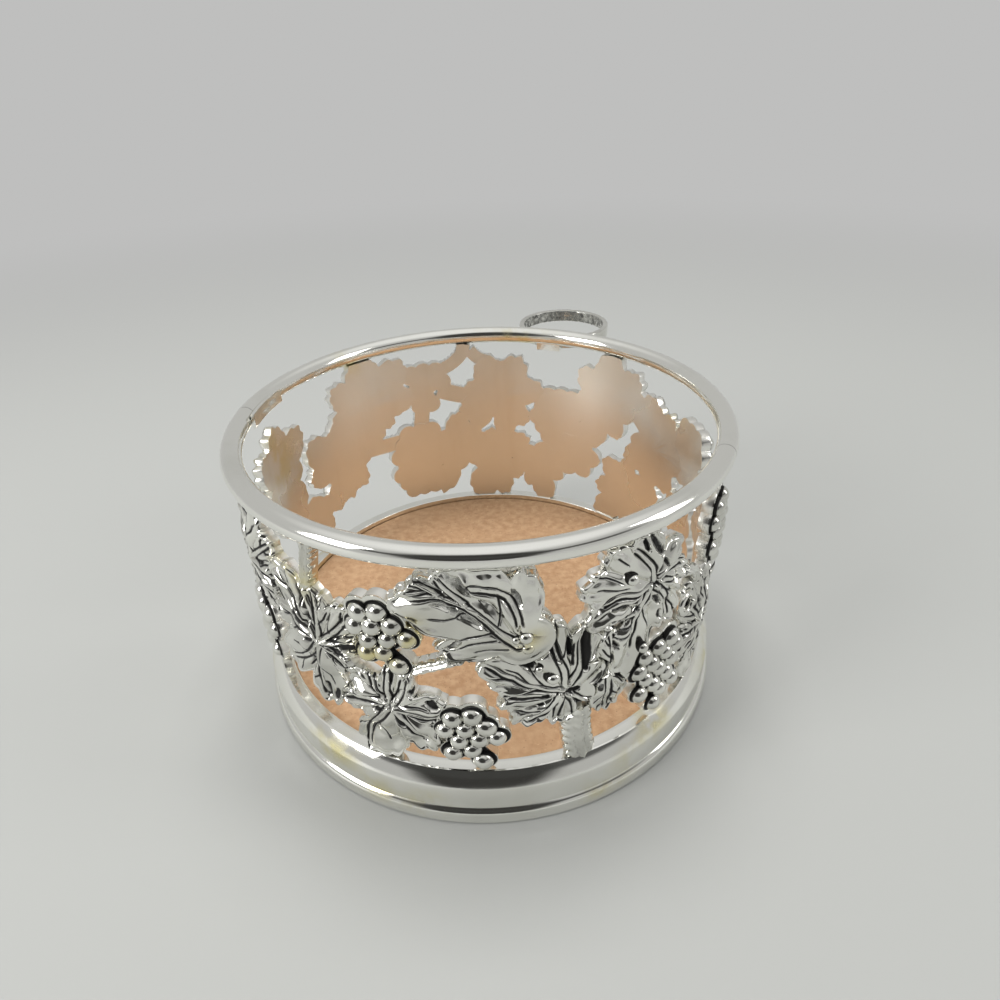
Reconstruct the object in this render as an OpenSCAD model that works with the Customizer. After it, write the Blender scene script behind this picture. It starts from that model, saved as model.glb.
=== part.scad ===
// Silver-plated wine bottle coaster: a moulded base ring with a cork floor carries a pierced
// gallery of vine leaves, grape bunches and vine stems under a round rim made in two halves.
// A small band ring for the bottle's stopper stands out from the back of the rim.
// Azimuth is counted from +X towards +Y, and the gallery is drawn as seen from outside.

/* [Overall] */
// Outside diameter of the round top rim
rim_d = 115; // [108:1:125]
// Overall height, floor to the top of the rim
coaster_h = 70.2; // [62:0.2:80]

/* [Base ring] */
// Height of the ledge that the gallery stands on
ledge_h = 13.5; // [12.5:0.5:16]
// How far the foot stands out past the rim
foot_out = 1.3; // [1:0.1:2]
// Height of the upright edge of the foot
foot_h = 3; // [2.4:0.1:3.4]
// Radius of the rounded lower edge of the foot
foot_edge_r = 0.6; // [0.4:0.1:1]
// Radius of the crowned shoulder between the foot and the band
foot_shoulder_r = 3; // [2:0.25:5]
// How far the upright band is set in from the foot
band_set = 0.9; // [0.6:0.1:1.2]
// Height of the band's lower edge
band_low_h = 4.3; // [4:0.1:5]
// Height of the band's upper edge
band_high_h = 10; // [9:0.25:11]
// Radius of the crowned shoulder between the band and the ledge
ledge_shoulder_r = 6; // [4:0.25:9]
// Width of the flat ledge, from the bore to the shoulder
ledge_w = 2.8; // [2.4:0.1:3.4]
// How far the ledge reaches in past the gallery's inner face
ledge_in = 0.4; // [0.2:0.1:1]
// Thickness of the inner flange that the core disc rests on
seat_flange_t = 1.6; // [1.2:0.1:2.4]
// Width of that flange
seat_flange_w = 2.5; // [1.5:0.1:4]

/* [Floor] */
// Depth of the cork's top below the ledge
cork_drop = 1.5; // [0.8:0.1:2.4]
// Thickness of the cork floor
cork_t = 3; // [2:0.2:3.4]
// Radial clearance of the discs in the ring
disc_gap = 0.1; // [0.05:0.05:0.4]
// Thickness of the felt pad under the core disc
felt_t = 1.6; // [1:0.1:1.6]

/* [Rim] */
// Diameter of the rim's round section
rim_bead_d = 4.5; // [4:0.1:5.2]
// Depth of the flat on the underside of the rim, which sits on the gallery
rim_flat = 0.25; // [0.15:0.05:0.6]
// Azimuth of the right-hand joint between the rim halves
joint_right_a = -25; // [-40:1:-10]
// Azimuth of the left-hand joint between the rim halves
joint_left_a = 176.5; // [165:0.5:185]
// Hairline gap at each joint
joint_gap = 0.12; // [0.05:0.01:0.3]
// Thickness of the lap strip brazed behind the left-hand joint
lap_t = 0.8; // [0.6:0.1:1.2]
// Clearance between the lap strip and the rear half
lap_gap = 0.05; // [0.05:0.05:0.3]
// Length of the lap strip past the joint, in degrees
lap_a = 13.5; // [8:0.5:18]

/* [Gallery] */
// Distance of the gallery's inner face from the inner side of the rim
wall_set = 0.2; // [0:0.1:0.6]
// Height of the leaves' crowns above the wall's inner face
leaf_relief = 4; // [3.4:0.1:4.4]
// Thickness of the leaves at their tips
leaf_edge_t = 1.7; // [1.4:0.1:2.2]
// Radius of the leaves' crowned faces
leaf_crown_r = 36; // [30:1:45]
// Height of the stems above the wall's inner face
stem_relief = 3; // [2.4:0.1:3.6]
// Depth of the engraved veins
vein_depth = 0.6; // [0.3:0.1:0.9]
// Width of a vein where it leaves the stalk
vein_w = 1.1; // [0.7:0.1:1.6]
// Diameter of a grape
grape_d = 4.4; // [4:0.1:4.8]
// Distance between grapes in a row
grape_pitch = 3.7; // [3.4:0.1:3.8]
// Thickness of the plate behind the grapes
grape_plate_t = 2.1; // [1.6:0.1:2.4]
// How far the plate shows around the grapes
grape_edge = 0.15; // [0.1:0.05:0.4]
// How far the backs of the grapes stand off the wall's inner face
grape_stand = 0.1; // [0.1:0.1:0.4]

/* [Stopper ring] */
// Bore of the ring that holds the bottle's stopper
stopper_bore_d = 24.4; // [20:0.2:26]
// Wall of the stopper ring
stopper_wall = 1.6; // [1.2:0.1:2.4]
// Height of the stopper ring
stopper_h = 3.6; // [3:0.2:4.4]
// How far the middle of the stopper ring lies below the middle of the rim
stopper_drop = 2.8; // [1.6:0.1:3.2]
// Azimuth of the stopper ring
stopper_a = 69; // [60:1:80]
// Gap between the rim and the stopper ring, bridged by the lug
stopper_gap = 0.6; // [0.4:0.1:1.5]
// Width of the lug
lug_w = 7; // [5:0.5:9]

/* [Hidden] */
$fn = 96;
rim_r = rim_d / 2;
rim_bead_r = rim_bead_d / 2;
rim_mid_r = rim_r - rim_bead_r;
rim_mid_z = coaster_h - rim_bead_r;
wall_r = rim_r - rim_bead_d + wall_set;
ring_bore_r = wall_r - ledge_in;
foot_r = rim_r + foot_out;
band_r = foot_r - band_set;
ledge_r = ring_bore_r + ledge_w;
stopper_r = stopper_bore_d / 2 + stopper_wall;
// Where the gallery stands and ends
gallery_z = ledge_h;
gallery_h = coaster_h - rim_bead_d + rim_flat - ledge_h;
// Overrun of cuts, so that no cut ends on a face
over = 1;
// Overrun of the base ring's crowned shoulders
shoulder_over = 0.04;
// The gallery's height laid along the wall gives the leaves the same unit both ways
arc_unit_share = 0.987;
arc_unit = wall_r * arc_unit_share;
// How far in and out the motifs' straight sides run
side_in_share = 0.8;
side_out_r = wall_r + leaf_relief + over;

// Vine leaves, as seen from outside: azimuth and height share of the stalk, then for each lobe
// its direction, its reach as a share of the gallery's height and its half width in degrees
leaf_shares = [
    [-82.5, 0.685, [[162, 0.50, 14], [143, 0.46, 26], [118, 0.40, 28], [84, 0.29, 34], [190, 0.31, 24],
        [35, 0.10, 50]]],
    [-56.5, 0.790, [[172, 0.27, 34], [133, 0.25, 30], [95, 0.24, 34], [25, 0.21, 34], [210, 0.28, 30],
        [262, 0.46, 24], [302, 0.29, 30], [340, 0.26, 30]]],
    [-74.5, 0.430, [[153, 0.34, 30], [104, 0.33, 28], [70, 0.29, 26], [222, 0.24, 34], [265, 0.20, 34],
        [12, 0.18, 40], [315, 0.16, 40]]],
    [-109, 0.320, [[84, 0.21, 36], [144, 0.23, 34], [192, 0.25, 30], [249, 0.36, 32], [302, 0.26, 32],
        [5, 0.21, 40]]],
    [-125, 0.545, [[95, 0.24, 34], [50, 0.26, 34], [15, 0.20, 34], [317, 0.18, 34], [262, 0.38, 30],
        [224, 0.40, 28], [177, 0.30, 32], [132, 0.36, 32]]],
    [-148, 0.720, [[90, 0.28, 34], [40, 0.24, 34], [350, 0.22, 36], [140, 0.28, 34], [190, 0.26, 36],
        [240, 0.26, 34], [295, 0.26, 34]]],
    [-165, 0.360, [[80, 0.30, 34], [35, 0.205, 34], [345, 0.24, 36], [128, 0.28, 34], [180, 0.24, 36],
        [232, 0.30, 34], [285, 0.34, 34]]],
    [168, 0.620, [[88, 0.29, 34], [136, 0.28, 34], [190, 0.17, 50], [247, 0.30, 34], [290, 0.30, 34],
        [335, 0.24, 34], [42, 0.28, 34]]],
    [157, 0.265, [[10, 0.17, 44], [90, 0.13, 50], [175, 0.18, 44], [232, 0.20, 36], [310, 0.20, 40]]],
    [143, 0.470, [[46, 0.30, 34], [2, 0.23, 36], [284, 0.28, 30], [256, 0.25, 28], [228, 0.26, 30],
        [188, 0.22, 36], [138, 0.29, 32], [90, 0.24, 34]]],
    [130, 0.735, [[90, 0.30, 40], [38, 0.27, 34], [350, 0.25, 34], [140, 0.33, 32], [182, 0.30, 34],
        [268, 0.27, 40], [225, 0.22, 34]]],
    [100, 0.350, [[50, 0.16, 40], [95, 0.235, 34], [5, 0.14, 44], [135, 0.20, 36], [200, 0.16, 44],
        [262, 0.16, 40], [289, 0.32, 24]]],
    [85.5, 0.655, [[118, 0.30, 34], [76, 0.28, 36], [28, 0.21, 36], [340, 0.24, 40], [162, 0.29, 30],
        [220, 0.235, 36], [256, 0.27, 24], [310, 0.25, 24]]],
    [88, 0.270, [[284, 0.30, 36], [252, 0.28, 28], [5, 0.17, 40], [216, 0.23, 32], [148, 0.27, 34],
        [60, 0.20, 40], [92, 0.20, 34]]],
    [70.5, 0.235, [[264, 0.26, 30], [300, 0.18, 34], [0, 0.19, 40], [45, 0.17, 36], [95, 0.16, 44],
        [208, 0.16, 38]]],
    [47, 0.700, [[92, 0.32, 34], [48, 0.27, 32], [5, 0.21, 36], [298, 0.32, 30], [130, 0.31, 32],
        [178, 0.19, 40], [245, 0.19, 40], [332, 0.20, 30]]],
    [28.5, 0.560, [[84, 0.31, 36], [124, 0.30, 34], [172, 0.28, 36], [222, 0.26, 36], [270, 0.24, 36],
        [322, 0.24, 36], [63, 0.33, 26], [5, 0.16, 40]]],
    [59, 0.350, [[235, 0.17, 40], [290, 0.16, 44], [182, 0.18, 40], [135, 0.16, 40], [340, 0.15, 40],
        [60, 0.14, 40]]],
    [-64.5, 0.420, [[90, 0.20, 40], [30, 0.14, 44], [270, 0.22, 40], [200, 0.14, 50], [140, 0.15, 50],
        [330, 0.12, 44]]],
    [36, 0.205, [[76, 0.23, 34], [42, 0.27, 30], [358, 0.25, 34], [320, 0.32, 28], [270, 0.24, 34],
        [218, 0.28, 34], [152, 0.25, 36], [112, 0.18, 34]]],
    [-12, 0.460, [[85, 0.28, 34], [35, 0.26, 34], [345, 0.26, 36], [132, 0.28, 34], [182, 0.26, 36],
        [236, 0.30, 34], [290, 0.30, 34]]],
    [-34, 0.330, [[72, 0.26, 34], [20, 0.22, 36], [325, 0.26, 34], [118, 0.30, 32], [170, 0.18, 40],
        [272, 0.34, 32], [225, 0.20, 34]]]
];

// Grape bunches: azimuth and height share of the middle of the top row, lean of the bunch in
// degrees, and the number of grapes in each row
bunch_shares = [
    [-112, 0.77, 14, [2, 3, 3, 2, 1]],
    [-95, 0.305, 8, [2, 3, 3, 2, 1]],
    [-51, 0.40, 8, [3, 4, 3, 3, 2, 1]],
    [-27, 0.85, 6, [2, 3, 3, 3, 2]],
    [-153, 0.42, -10, [3, 4, 3, 3, 2]],
    [109.5, 0.845, 0, [3, 3, 2, 2]],
    [112.5, 0.48, 0, [3, 4, 4, 4, 4, 4, 3]],
    [64, 0.68, 0, [3, 4, 4, 4, 3, 3]],
    [9, 0.80, 0, [3, 4, 4, 3, 2]],
    [12, 0.36, -8, [3, 4, 3, 3, 2, 1]]
];

// Vine stems: points by azimuth and height share, then the width as a share of the height
stem_shares = [
    [[[-104, 0.525], [-99, 0.565], [-94, 0.60], [-89, 0.615]], 0.05],
    [[[-71, 0.28], [-71, 0.14], [-69.5, -0.02]], 0.12],
    [[[-123.5, 1.02], [-125, 0.93], [-127, 0.78]], 0.05],
    [[[132, 0.47], [124, 0.46], [117.5, 0.46]], 0.09],
    [[[110.5, 0.66], [111.5, 0.55], [112, 0.47]], 0.09],
    [[[95.7, 1.03], [96.5, 0.95], [100, 0.89], [104, 0.86]], 0.075],
    [[[94, 0.96], [91.5, 0.915], [88.5, 0.895]], 0.07],
    [[[105, 0.74], [99, 0.70], [94, 0.68]], 0.10],
    [[[-40, 0.50], [-37.5, 0.57], [-39, 0.65], [-44, 0.70]], 0.05]
];

// Turns an angle into the range from -180 to 180 degrees
function turn(a) = a - 360 * round(a / 360);

// Motifs whose stalks are within this angle of each other may meet
near_a = 50;
function near(a, b) = abs(turn(a - b)) < near_a;

// Angle of a length along the wall, and that length seen square on, as straight sides need it
function wall_a(u) = u * 180 / (PI * wall_r);
function chord(u) = wall_r * sin(wall_a(u));

// Base ring

module base_profile() {
    difference() {
        union() {
            foot_profile();
            translate([ring_bore_r, 0]) square([band_r - ring_bore_r, band_high_h]);
            shoulder([band_r, band_low_h], [foot_r, foot_h], foot_shoulder_r);
            shoulder([ledge_r, ledge_h], [band_r, band_high_h], ledge_shoulder_r);
            translate([ring_bore_r - seat_flange_w, 0]) square([seat_flange_w + over, seat_flange_t]);
        }
        translate([0, seat_flange_t]) square([ring_bore_r, ledge_h]);
    }
}

module foot_profile() {
    translate([ring_bore_r, 0]) square([foot_r - foot_edge_r - ring_bore_r, foot_h]);
    translate([ring_bore_r, foot_edge_r]) square([foot_r - ring_bore_r, foot_h - foot_edge_r]);
    translate([foot_r - foot_edge_r, foot_edge_r]) circle(foot_edge_r);
}

// Fills the corner under an arc of radius r that crowns from an upper point out to a lower one.
// The arc runs a hair past both points, so that it cuts the faces it meets
module shoulder(upper, lower, r) {
    run = [shoulder_over, 0];
    half = (lower - upper) / 2 + run;
    inward = [half[1], -half[0]] / norm(half);
    intersection() {
        translate([ring_bore_r, lower[1]]) square([lower[0] - ring_bore_r, upper[1] - lower[1]]);
        translate(upper - run + half + inward * sqrt(r * r - half * half)) circle(r);
    }
}

module base_ring() color("silver") rotate_extrude() base_profile();

// Floor

core_z = seat_flange_t;
cork_z = ledge_h - cork_drop - cork_t;

module core_disc()
    color("burlywood") translate([0, 0, core_z]) cylinder(r = ring_bore_r - disc_gap, h = cork_z - core_z);

module cork_pad()
    color("peru") translate([0, 0, cork_z]) cylinder(r = ring_bore_r - disc_gap, h = cork_t);

module felt_pad()
    color("darkslategray") translate([0, 0, core_z - felt_t])
        cylinder(r = ring_bore_r - seat_flange_w - disc_gap, h = felt_t);

// Rim

module rim_profile() {
    translate([rim_mid_r, rim_mid_z]) difference() {
        circle(rim_bead_r);
        translate([-rim_bead_d, -rim_bead_d]) square([2 * rim_bead_d, rim_bead_r + rim_flat]);
    }
}

gap_a = joint_gap / rim_mid_r * 180 / PI;

module rim_arc(from_a, to_a)
    rotate_extrude(angle = to_a - from_a - gap_a, start = from_a + gap_a / 2) rim_profile();

// Height of the strip as a share of the rim's section, and the share of its length that is brazed on
lap_h_share = 0.8;
lap_foot_share = 0.25;

// Strip behind the left-hand joint, fixed to the front half and lying against the rear half
lap_h = rim_bead_d * lap_h_share;
lap_in_r = rim_mid_r - rim_bead_r - lap_gap - lap_t;

module lap_strip() {
    rotate_extrude(angle = lap_a + 2 * gap_a, start = joint_left_a - lap_a)
        translate([lap_in_r, rim_mid_z - lap_h / 2]) square([lap_t, lap_h]);
    rotate_extrude(angle = lap_a * lap_foot_share, start = joint_left_a + gap_a)
        translate([lap_in_r, rim_mid_z - lap_h / 2]) square([rim_bead_r, lap_h]);
}

module rim_front() color("gainsboro") {
    rim_arc(joint_left_a - 360, joint_right_a);
    lap_strip();
}

module rim_rear() color("lightgray") rim_arc(joint_right_a, joint_left_a);

// Stopper ring at the back

lug_h_share = 0.85;
stopper_mid_r = rim_r + stopper_gap + stopper_r;
stopper_z = rim_mid_z - stopper_drop - stopper_h / 2;
lug_h = stopper_h * lug_h_share;
lug_z = stopper_z + (stopper_h - lug_h) / 2;

module stopper_ring() {
    color("gainsboro") rotate(stopper_a) translate([stopper_mid_r, 0, stopper_z]) difference() {
        cylinder(r = stopper_r, h = stopper_h);
        translate([0, 0, -over]) cylinder(r = stopper_bore_d / 2, h = stopper_h + 2 * over);
    }
}

// Small block brazed between the underside of the rim and the stopper ring
module ring_lug() {
    color("silver") difference() {
        rotate(stopper_a) translate([rim_mid_r, -lug_w / 2, lug_z])
            cube([stopper_mid_r - rim_mid_r, lug_w, lug_h]);
        rotate(stopper_a) translate([stopper_mid_r, 0, stopper_z - over])
            cylinder(r = stopper_r, h = stopper_h + 2 * over);
        rotate_extrude() rim_profile();
    }
}

// Gallery

// Stands a flat outline up on the wall at an azimuth
module stand_up(azimuth)
    rotate(azimuth) translate([wall_r * side_in_share, 0, gallery_z]) rotate([90, 0, 90])
        linear_extrude(side_out_r - wall_r * side_in_share) children();

// Keeps an outline between the ledge and the rim
module between_rings() {
    intersection() {
        children();
        translate([-wall_r, 0]) square([2 * wall_r, gallery_h]);
    }
}

module wall_inside() translate([0, 0, gallery_z - over]) cylinder(r = wall_r, h = gallery_h + 2 * over);

// Outline of a leaf: lobes with a drawn-out tip, their edges cut into teeth. A lobe's reach falls
// from its tip to its sides by a sharp part and a round part.
lobe_sharp_share = 0.12;
lobe_sharp_power = 0.8;
lobe_round_share = 0.32;
function lobe(x) = abs(x) >= 1 ? 0
    : 1 - lobe_sharp_share * pow(abs(x), lobe_sharp_power) - lobe_round_share * x * x;
leaf_core_share = 0.12;
tooth_share = 0.05;
tooth_a = 6;
function leaf_reach(lobes, a) =
    max(concat([leaf_core_share], [for (l = lobes) l[1] * lobe(turn(a - l[0]) / l[2])]));
function leaf_outline(lobes) = [
    for (k = [0 : 360 / tooth_a - 1])
        let (a = k * tooth_a, r = leaf_reach(lobes, a) * (1 + (k % 2 == 0 ? tooth_share : -tooth_share)))
        [chord(r * cos(a) * arc_unit), r * sin(a) * gallery_h]
];

module leaf_prism(leaf) stand_up(leaf[0]) between_rings()
    translate([0, leaf[1] * gallery_h]) polygon(leaf_outline(leaf[2]));

vein_reach_share = 0.8;
vein_tip_share = 0.3;
module leaf_veins(leaf) stand_up(leaf[0]) between_rings() translate([0, leaf[1] * gallery_h])
    for (l = leaf[2]) rotate(l[0]) polygon([
        [0, -vein_w / 2], [l[1] * vein_reach_share * gallery_h, -vein_w * vein_tip_share / 2],
        [l[1] * vein_reach_share * gallery_h, vein_w * vein_tip_share / 2], [0, vein_w / 2]
    ]);

// Face of a leaf: a crown over the stalk on a plate that reaches to the tips
module leaf_face(leaf, sunk) {
    rotate(leaf[0]) translate([wall_r + leaf_relief - leaf_crown_r, 0, gallery_z + leaf[1] * gallery_h])
        sphere(leaf_crown_r - sunk);
    translate([0, 0, gallery_z - over]) cylinder(r = wall_r + leaf_edge_t - sunk, h = gallery_h + 2 * over);
}

// Grapes of a bunch, by their places along and up the wall from the top row's middle. Each row
// lies in the gaps of the row above, so a row that would line up with it moves by half a grape.
function stagger(counts, row) =
    abs((counts[0] + row - counts[row]) % 2) / 2 * (row % 2 == 0 ? 1 : -1);
function grapes(bunch) = [
    for (row = [0 : len(bunch[3]) - 1], j = [0 : bunch[3][row] - 1])
        let (
            along = (j - (bunch[3][row] - 1) / 2 + stagger(bunch[3], row)) * grape_pitch,
            down = row * grape_pitch * sin(60)
        )
        [along * cos(bunch[2]) + down * sin(bunch[2]), along * sin(bunch[2]) - down * cos(bunch[2])]
];

grape_sides = 64;
grape_mid_r = wall_r + grape_stand + grape_d / 2;

module bunch_prism(bunch) stand_up(bunch[0]) between_rings() translate([0, bunch[1] * gallery_h])
    for (g = grapes(bunch)) translate([chord(g[0]), g[1]]) circle(r = grape_d / 2 + grape_edge);

module bunch(i) {
    b = bunch_shares[i];
    color("silver") {
        difference() {
            intersection() {
                bunch_prism(b);
                translate([0, 0, gallery_z]) cylinder(r = wall_r + grape_plate_t, h = gallery_h);
            }
            wall_inside();
        }
        intersection() {
            for (g = grapes(b)) rotate(b[0])
                translate([grape_mid_r * cos(wall_a(g[0])), chord(g[0]), gallery_z + b[1] * gallery_h + g[1]])
                    rotate([0, 90, 0]) sphere(d = grape_d, $fn = grape_sides);
            translate([0, 0, gallery_z]) cylinder(r = side_out_r, h = gallery_h);
        }
    }
}

module leaf(i) {
    l = leaf_shares[i];
    color("gainsboro") difference() {
        intersection() {
            leaf_prism(l);
            leaf_face(l, 0);
        }
        wall_inside();
        difference() {
            leaf_veins(l);
            leaf_face(l, vein_depth);
        }
        for (b = bunch_shares) if (near(b[0], l[0])) bunch_prism(b);
        for (j = [0 : 1 : i - 1]) if (near(leaf_shares[j][0], l[0])) leaf_prism(leaf_shares[j]);
    }
}

// A stem's path, rounded between its points
function stem_point(p, t) = let (
    n = len(p) - 1, i = min(floor(t * n), n - 1), s = t * n - i,
    a = p[max(i - 1, 0)], b = p[i], c = p[i + 1], d = p[min(i + 2, n)]
) 0.5 * (2 * b + (c - a) * s + (2 * a - 5 * b + 4 * c - d) * s * s + (3 * b - a - 3 * c + d) * s * s * s);

stem_steps = 12;

module stem_prism(stem) {
    mid_a = (stem[0][0][0] + stem[0][len(stem[0]) - 1][0]) / 2;
    path = [for (k = [0 : stem_steps]) let (p = stem_point(stem[0], k / stem_steps))
        [wall_r * sin(p[0] - mid_a), p[1] * gallery_h]];
    side = [for (k = [0 : stem_steps])
        let (d = path[min(k + 1, stem_steps)] - path[max(k - 1, 0)], n = [-d[1], d[0]] / norm(d))
        n * stem[1] * gallery_h / 2];
    stand_up(mid_a) between_rings() polygon(concat(
        [for (k = [0 : stem_steps]) path[k] + side[k]],
        [for (k = [stem_steps : -1 : 0]) path[k] - side[k]]
    ));
}

module stem(i) {
    s = stem_shares[i];
    color("darkgray") difference() {
        intersection() {
            stem_prism(s);
            translate([0, 0, gallery_z]) cylinder(r = wall_r + stem_relief, h = gallery_h);
        }
        wall_inside();
        for (b = bunch_shares) if (near(b[0], s[0][0][0])) bunch_prism(b);
        for (l = leaf_shares) if (near(l[0], s[0][0][0])) leaf_prism(l);
        for (j = [0 : 1 : i - 1]) if (near(stem_shares[j][0][0][0], s[0][0][0])) stem_prism(stem_shares[j]);
    }
}

base_ring();
core_disc();
cork_pad();
felt_pad();
rim_front();
rim_rear();
stopper_ring();
ring_lug();
for (i = [0 : len(leaf_shares) - 1]) leaf(i);
for (i = [0 : len(bunch_shares) - 1]) bunch(i);
for (i = [0 : len(stem_shares) - 1]) stem(i);
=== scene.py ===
"""Silver-plated wine bottle coaster with a pierced gallery of vine leaves, grapes and stems."""
import math

import bmesh
import bpy
import numpy as np
from mathutils import Matrix, Vector


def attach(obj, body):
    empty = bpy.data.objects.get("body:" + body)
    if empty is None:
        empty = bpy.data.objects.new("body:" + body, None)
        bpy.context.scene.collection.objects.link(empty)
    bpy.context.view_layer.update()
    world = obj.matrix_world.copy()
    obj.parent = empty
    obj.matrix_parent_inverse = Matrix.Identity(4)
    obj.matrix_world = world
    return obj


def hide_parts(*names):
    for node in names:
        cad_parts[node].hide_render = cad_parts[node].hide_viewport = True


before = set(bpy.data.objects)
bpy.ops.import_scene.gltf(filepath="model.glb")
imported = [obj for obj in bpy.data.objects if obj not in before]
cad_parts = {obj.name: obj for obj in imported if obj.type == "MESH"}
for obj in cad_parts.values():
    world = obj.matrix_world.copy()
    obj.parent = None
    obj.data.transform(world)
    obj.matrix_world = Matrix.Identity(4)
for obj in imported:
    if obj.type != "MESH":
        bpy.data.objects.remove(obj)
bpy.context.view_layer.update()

MM = 0.001

# Driving sizes of the coaster in millimetres, the same as those of its solids
RIM_R = 57.5
TOP_Z = 70.2
RIM_BEAD_R = 2.25
RIM_FLAT = 0.25
LEDGE_Z = 13.5
WALL_R = RIM_R - 2 * RIM_BEAD_R + 0.2
BORE_R = WALL_R - 0.4
FOOT_R = RIM_R + 1.3
FOOT_H = 3.0
FOOT_EDGE_R = 0.6
FOOT_SHOULDER_R = 3.0
BAND_R = FOOT_R - 0.9
BAND_LOW_Z = 4.3
BAND_HIGH_Z = 10.0
LEDGE_R = BORE_R + 2.8
LEDGE_SHOULDER_R = 14.0
SHOULDER_OVER = 0.04
LEDGE_SINK = 0.05
FLANGE_T = 1.6
FLANGE_W = 2.5
CORK_TOP_Z = LEDGE_Z - 1.5
CORK_T = 3.0
DISC_GAP = 0.1
RIM_MID_R = RIM_R - RIM_BEAD_R
RIM_MID_Z = TOP_Z - RIM_BEAD_R
GALLERY_TOP_Z = RIM_MID_Z - RIM_BEAD_R + RIM_FLAT
GALLERY_H = GALLERY_TOP_Z - LEDGE_Z
JOINT_RIGHT = -25.0
JOINT_LEFT = 176.5
JOINT_GAP = 0.12

# Vine leaves: azimuth and height share of the stalk, then for each lobe its direction in degrees,
# its reach as a share of the gallery's height and its half width in degrees
LEAVES = [
    (-82.5, 0.685, [(160, 0.485, 20), (147, 0.45, 24), (134, 0.425, 18), (122, 0.42, 28), (91, 0.30, 27),
        (190, 0.31, 24), (35, 0.10, 50)]),
    (-56.5, 0.790, [(172, 0.27, 34), (133, 0.25, 30), (95, 0.24, 34), (25, 0.21, 34), (210, 0.28, 30),
        (262, 0.46, 24), (300, 0.33, 32), (340, 0.26, 30)]),
    (-74.5, 0.430, [(153, 0.34, 30), (174, 0.265, 26), (200, 0.25, 26), (104, 0.33, 28), (70, 0.29, 26),
        (224, 0.26, 32), (262, 0.22, 34), (12, 0.18, 40), (315, 0.16, 40)]),
    (-109, 0.320, [(84, 0.21, 36), (144, 0.23, 34), (192, 0.25, 30), (249, 0.36, 32), (302, 0.26, 32),
        (5, 0.21, 40)]),
    (-125, 0.545, [(95, 0.24, 34), (50, 0.26, 34), (15, 0.20, 34), (317, 0.18, 34), (262, 0.38, 30),
        (224, 0.40, 28), (177, 0.30, 32), (132, 0.36, 32)]),
    (-148, 0.720, [(90, 0.28, 34), (40, 0.24, 34), (350, 0.22, 36), (140, 0.28, 34), (190, 0.26, 36),
        (240, 0.26, 34), (295, 0.26, 34)]),
    (-165, 0.360, [(80, 0.30, 34), (35, 0.205, 34), (345, 0.24, 36), (128, 0.28, 34), (180, 0.24, 36),
        (232, 0.30, 34), (285, 0.34, 34)]),
    (168, 0.620, [(88, 0.29, 34), (136, 0.28, 34), (190, 0.17, 50), (247, 0.30, 34), (290, 0.30, 34),
        (335, 0.24, 34), (42, 0.28, 34)]),
    (157, 0.265, [(10, 0.17, 44), (90, 0.13, 50), (175, 0.18, 44), (232, 0.20, 36), (310, 0.20, 40)]),
    (143, 0.470, [(46, 0.30, 34), (2, 0.23, 36), (284, 0.28, 30), (256, 0.25, 28), (228, 0.26, 30),
        (188, 0.22, 36), (138, 0.29, 32), (90, 0.24, 34)]),
    (130, 0.735, [(90, 0.30, 40), (38, 0.27, 34), (350, 0.25, 34), (140, 0.33, 32), (182, 0.30, 34),
        (268, 0.27, 40), (225, 0.22, 34)]),
    (100, 0.350, [(50, 0.16, 40), (95, 0.235, 34), (5, 0.14, 44), (135, 0.20, 36), (200, 0.16, 44),
        (262, 0.16, 40), (289, 0.32, 24)]),
    (85.5, 0.655, [(118, 0.30, 34), (76, 0.28, 36), (28, 0.21, 36), (340, 0.24, 40), (162, 0.29, 30),
        (220, 0.235, 36), (256, 0.27, 24), (310, 0.25, 24)]),
    (88, 0.270, [(284, 0.30, 36), (252, 0.28, 28), (5, 0.17, 40), (216, 0.23, 32), (148, 0.27, 34),
        (60, 0.20, 40), (92, 0.20, 34)]),
    (70.5, 0.235, [(264, 0.26, 30), (300, 0.18, 34), (0, 0.19, 40), (45, 0.17, 36), (95, 0.16, 44),
        (208, 0.16, 38)]),
    (47, 0.700, [(92, 0.32, 34), (48, 0.27, 32), (5, 0.21, 36), (298, 0.32, 30), (130, 0.31, 32),
        (178, 0.19, 40), (245, 0.19, 40), (332, 0.20, 30)]),
    (28.5, 0.560, [(84, 0.31, 36), (124, 0.30, 34), (172, 0.28, 36), (222, 0.26, 36), (270, 0.24, 36),
        (322, 0.24, 36), (63, 0.33, 26), (5, 0.16, 40)]),
    (59, 0.350, [(235, 0.17, 40), (290, 0.16, 44), (182, 0.18, 40), (135, 0.16, 40), (340, 0.15, 40),
        (60, 0.14, 40)]),
    (-64.5, 0.420, [(90, 0.20, 40), (30, 0.14, 44), (270, 0.22, 40), (200, 0.14, 50), (140, 0.15, 50),
        (330, 0.12, 44)]),
    (36, 0.205, [(76, 0.23, 34), (42, 0.27, 30), (358, 0.25, 34), (320, 0.32, 28), (270, 0.24, 34),
        (218, 0.28, 34), (152, 0.25, 36), (112, 0.18, 34)]),
    (-12, 0.460, [(85, 0.28, 34), (35, 0.26, 34), (345, 0.26, 36), (132, 0.28, 34), (182, 0.26, 36),
        (236, 0.30, 34), (290, 0.30, 34)]),
    (-34, 0.330, [(72, 0.26, 34), (20, 0.22, 36), (325, 0.26, 34), (118, 0.30, 32), (170, 0.18, 40),
        (272, 0.34, 32), (225, 0.20, 34)]),
]

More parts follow.
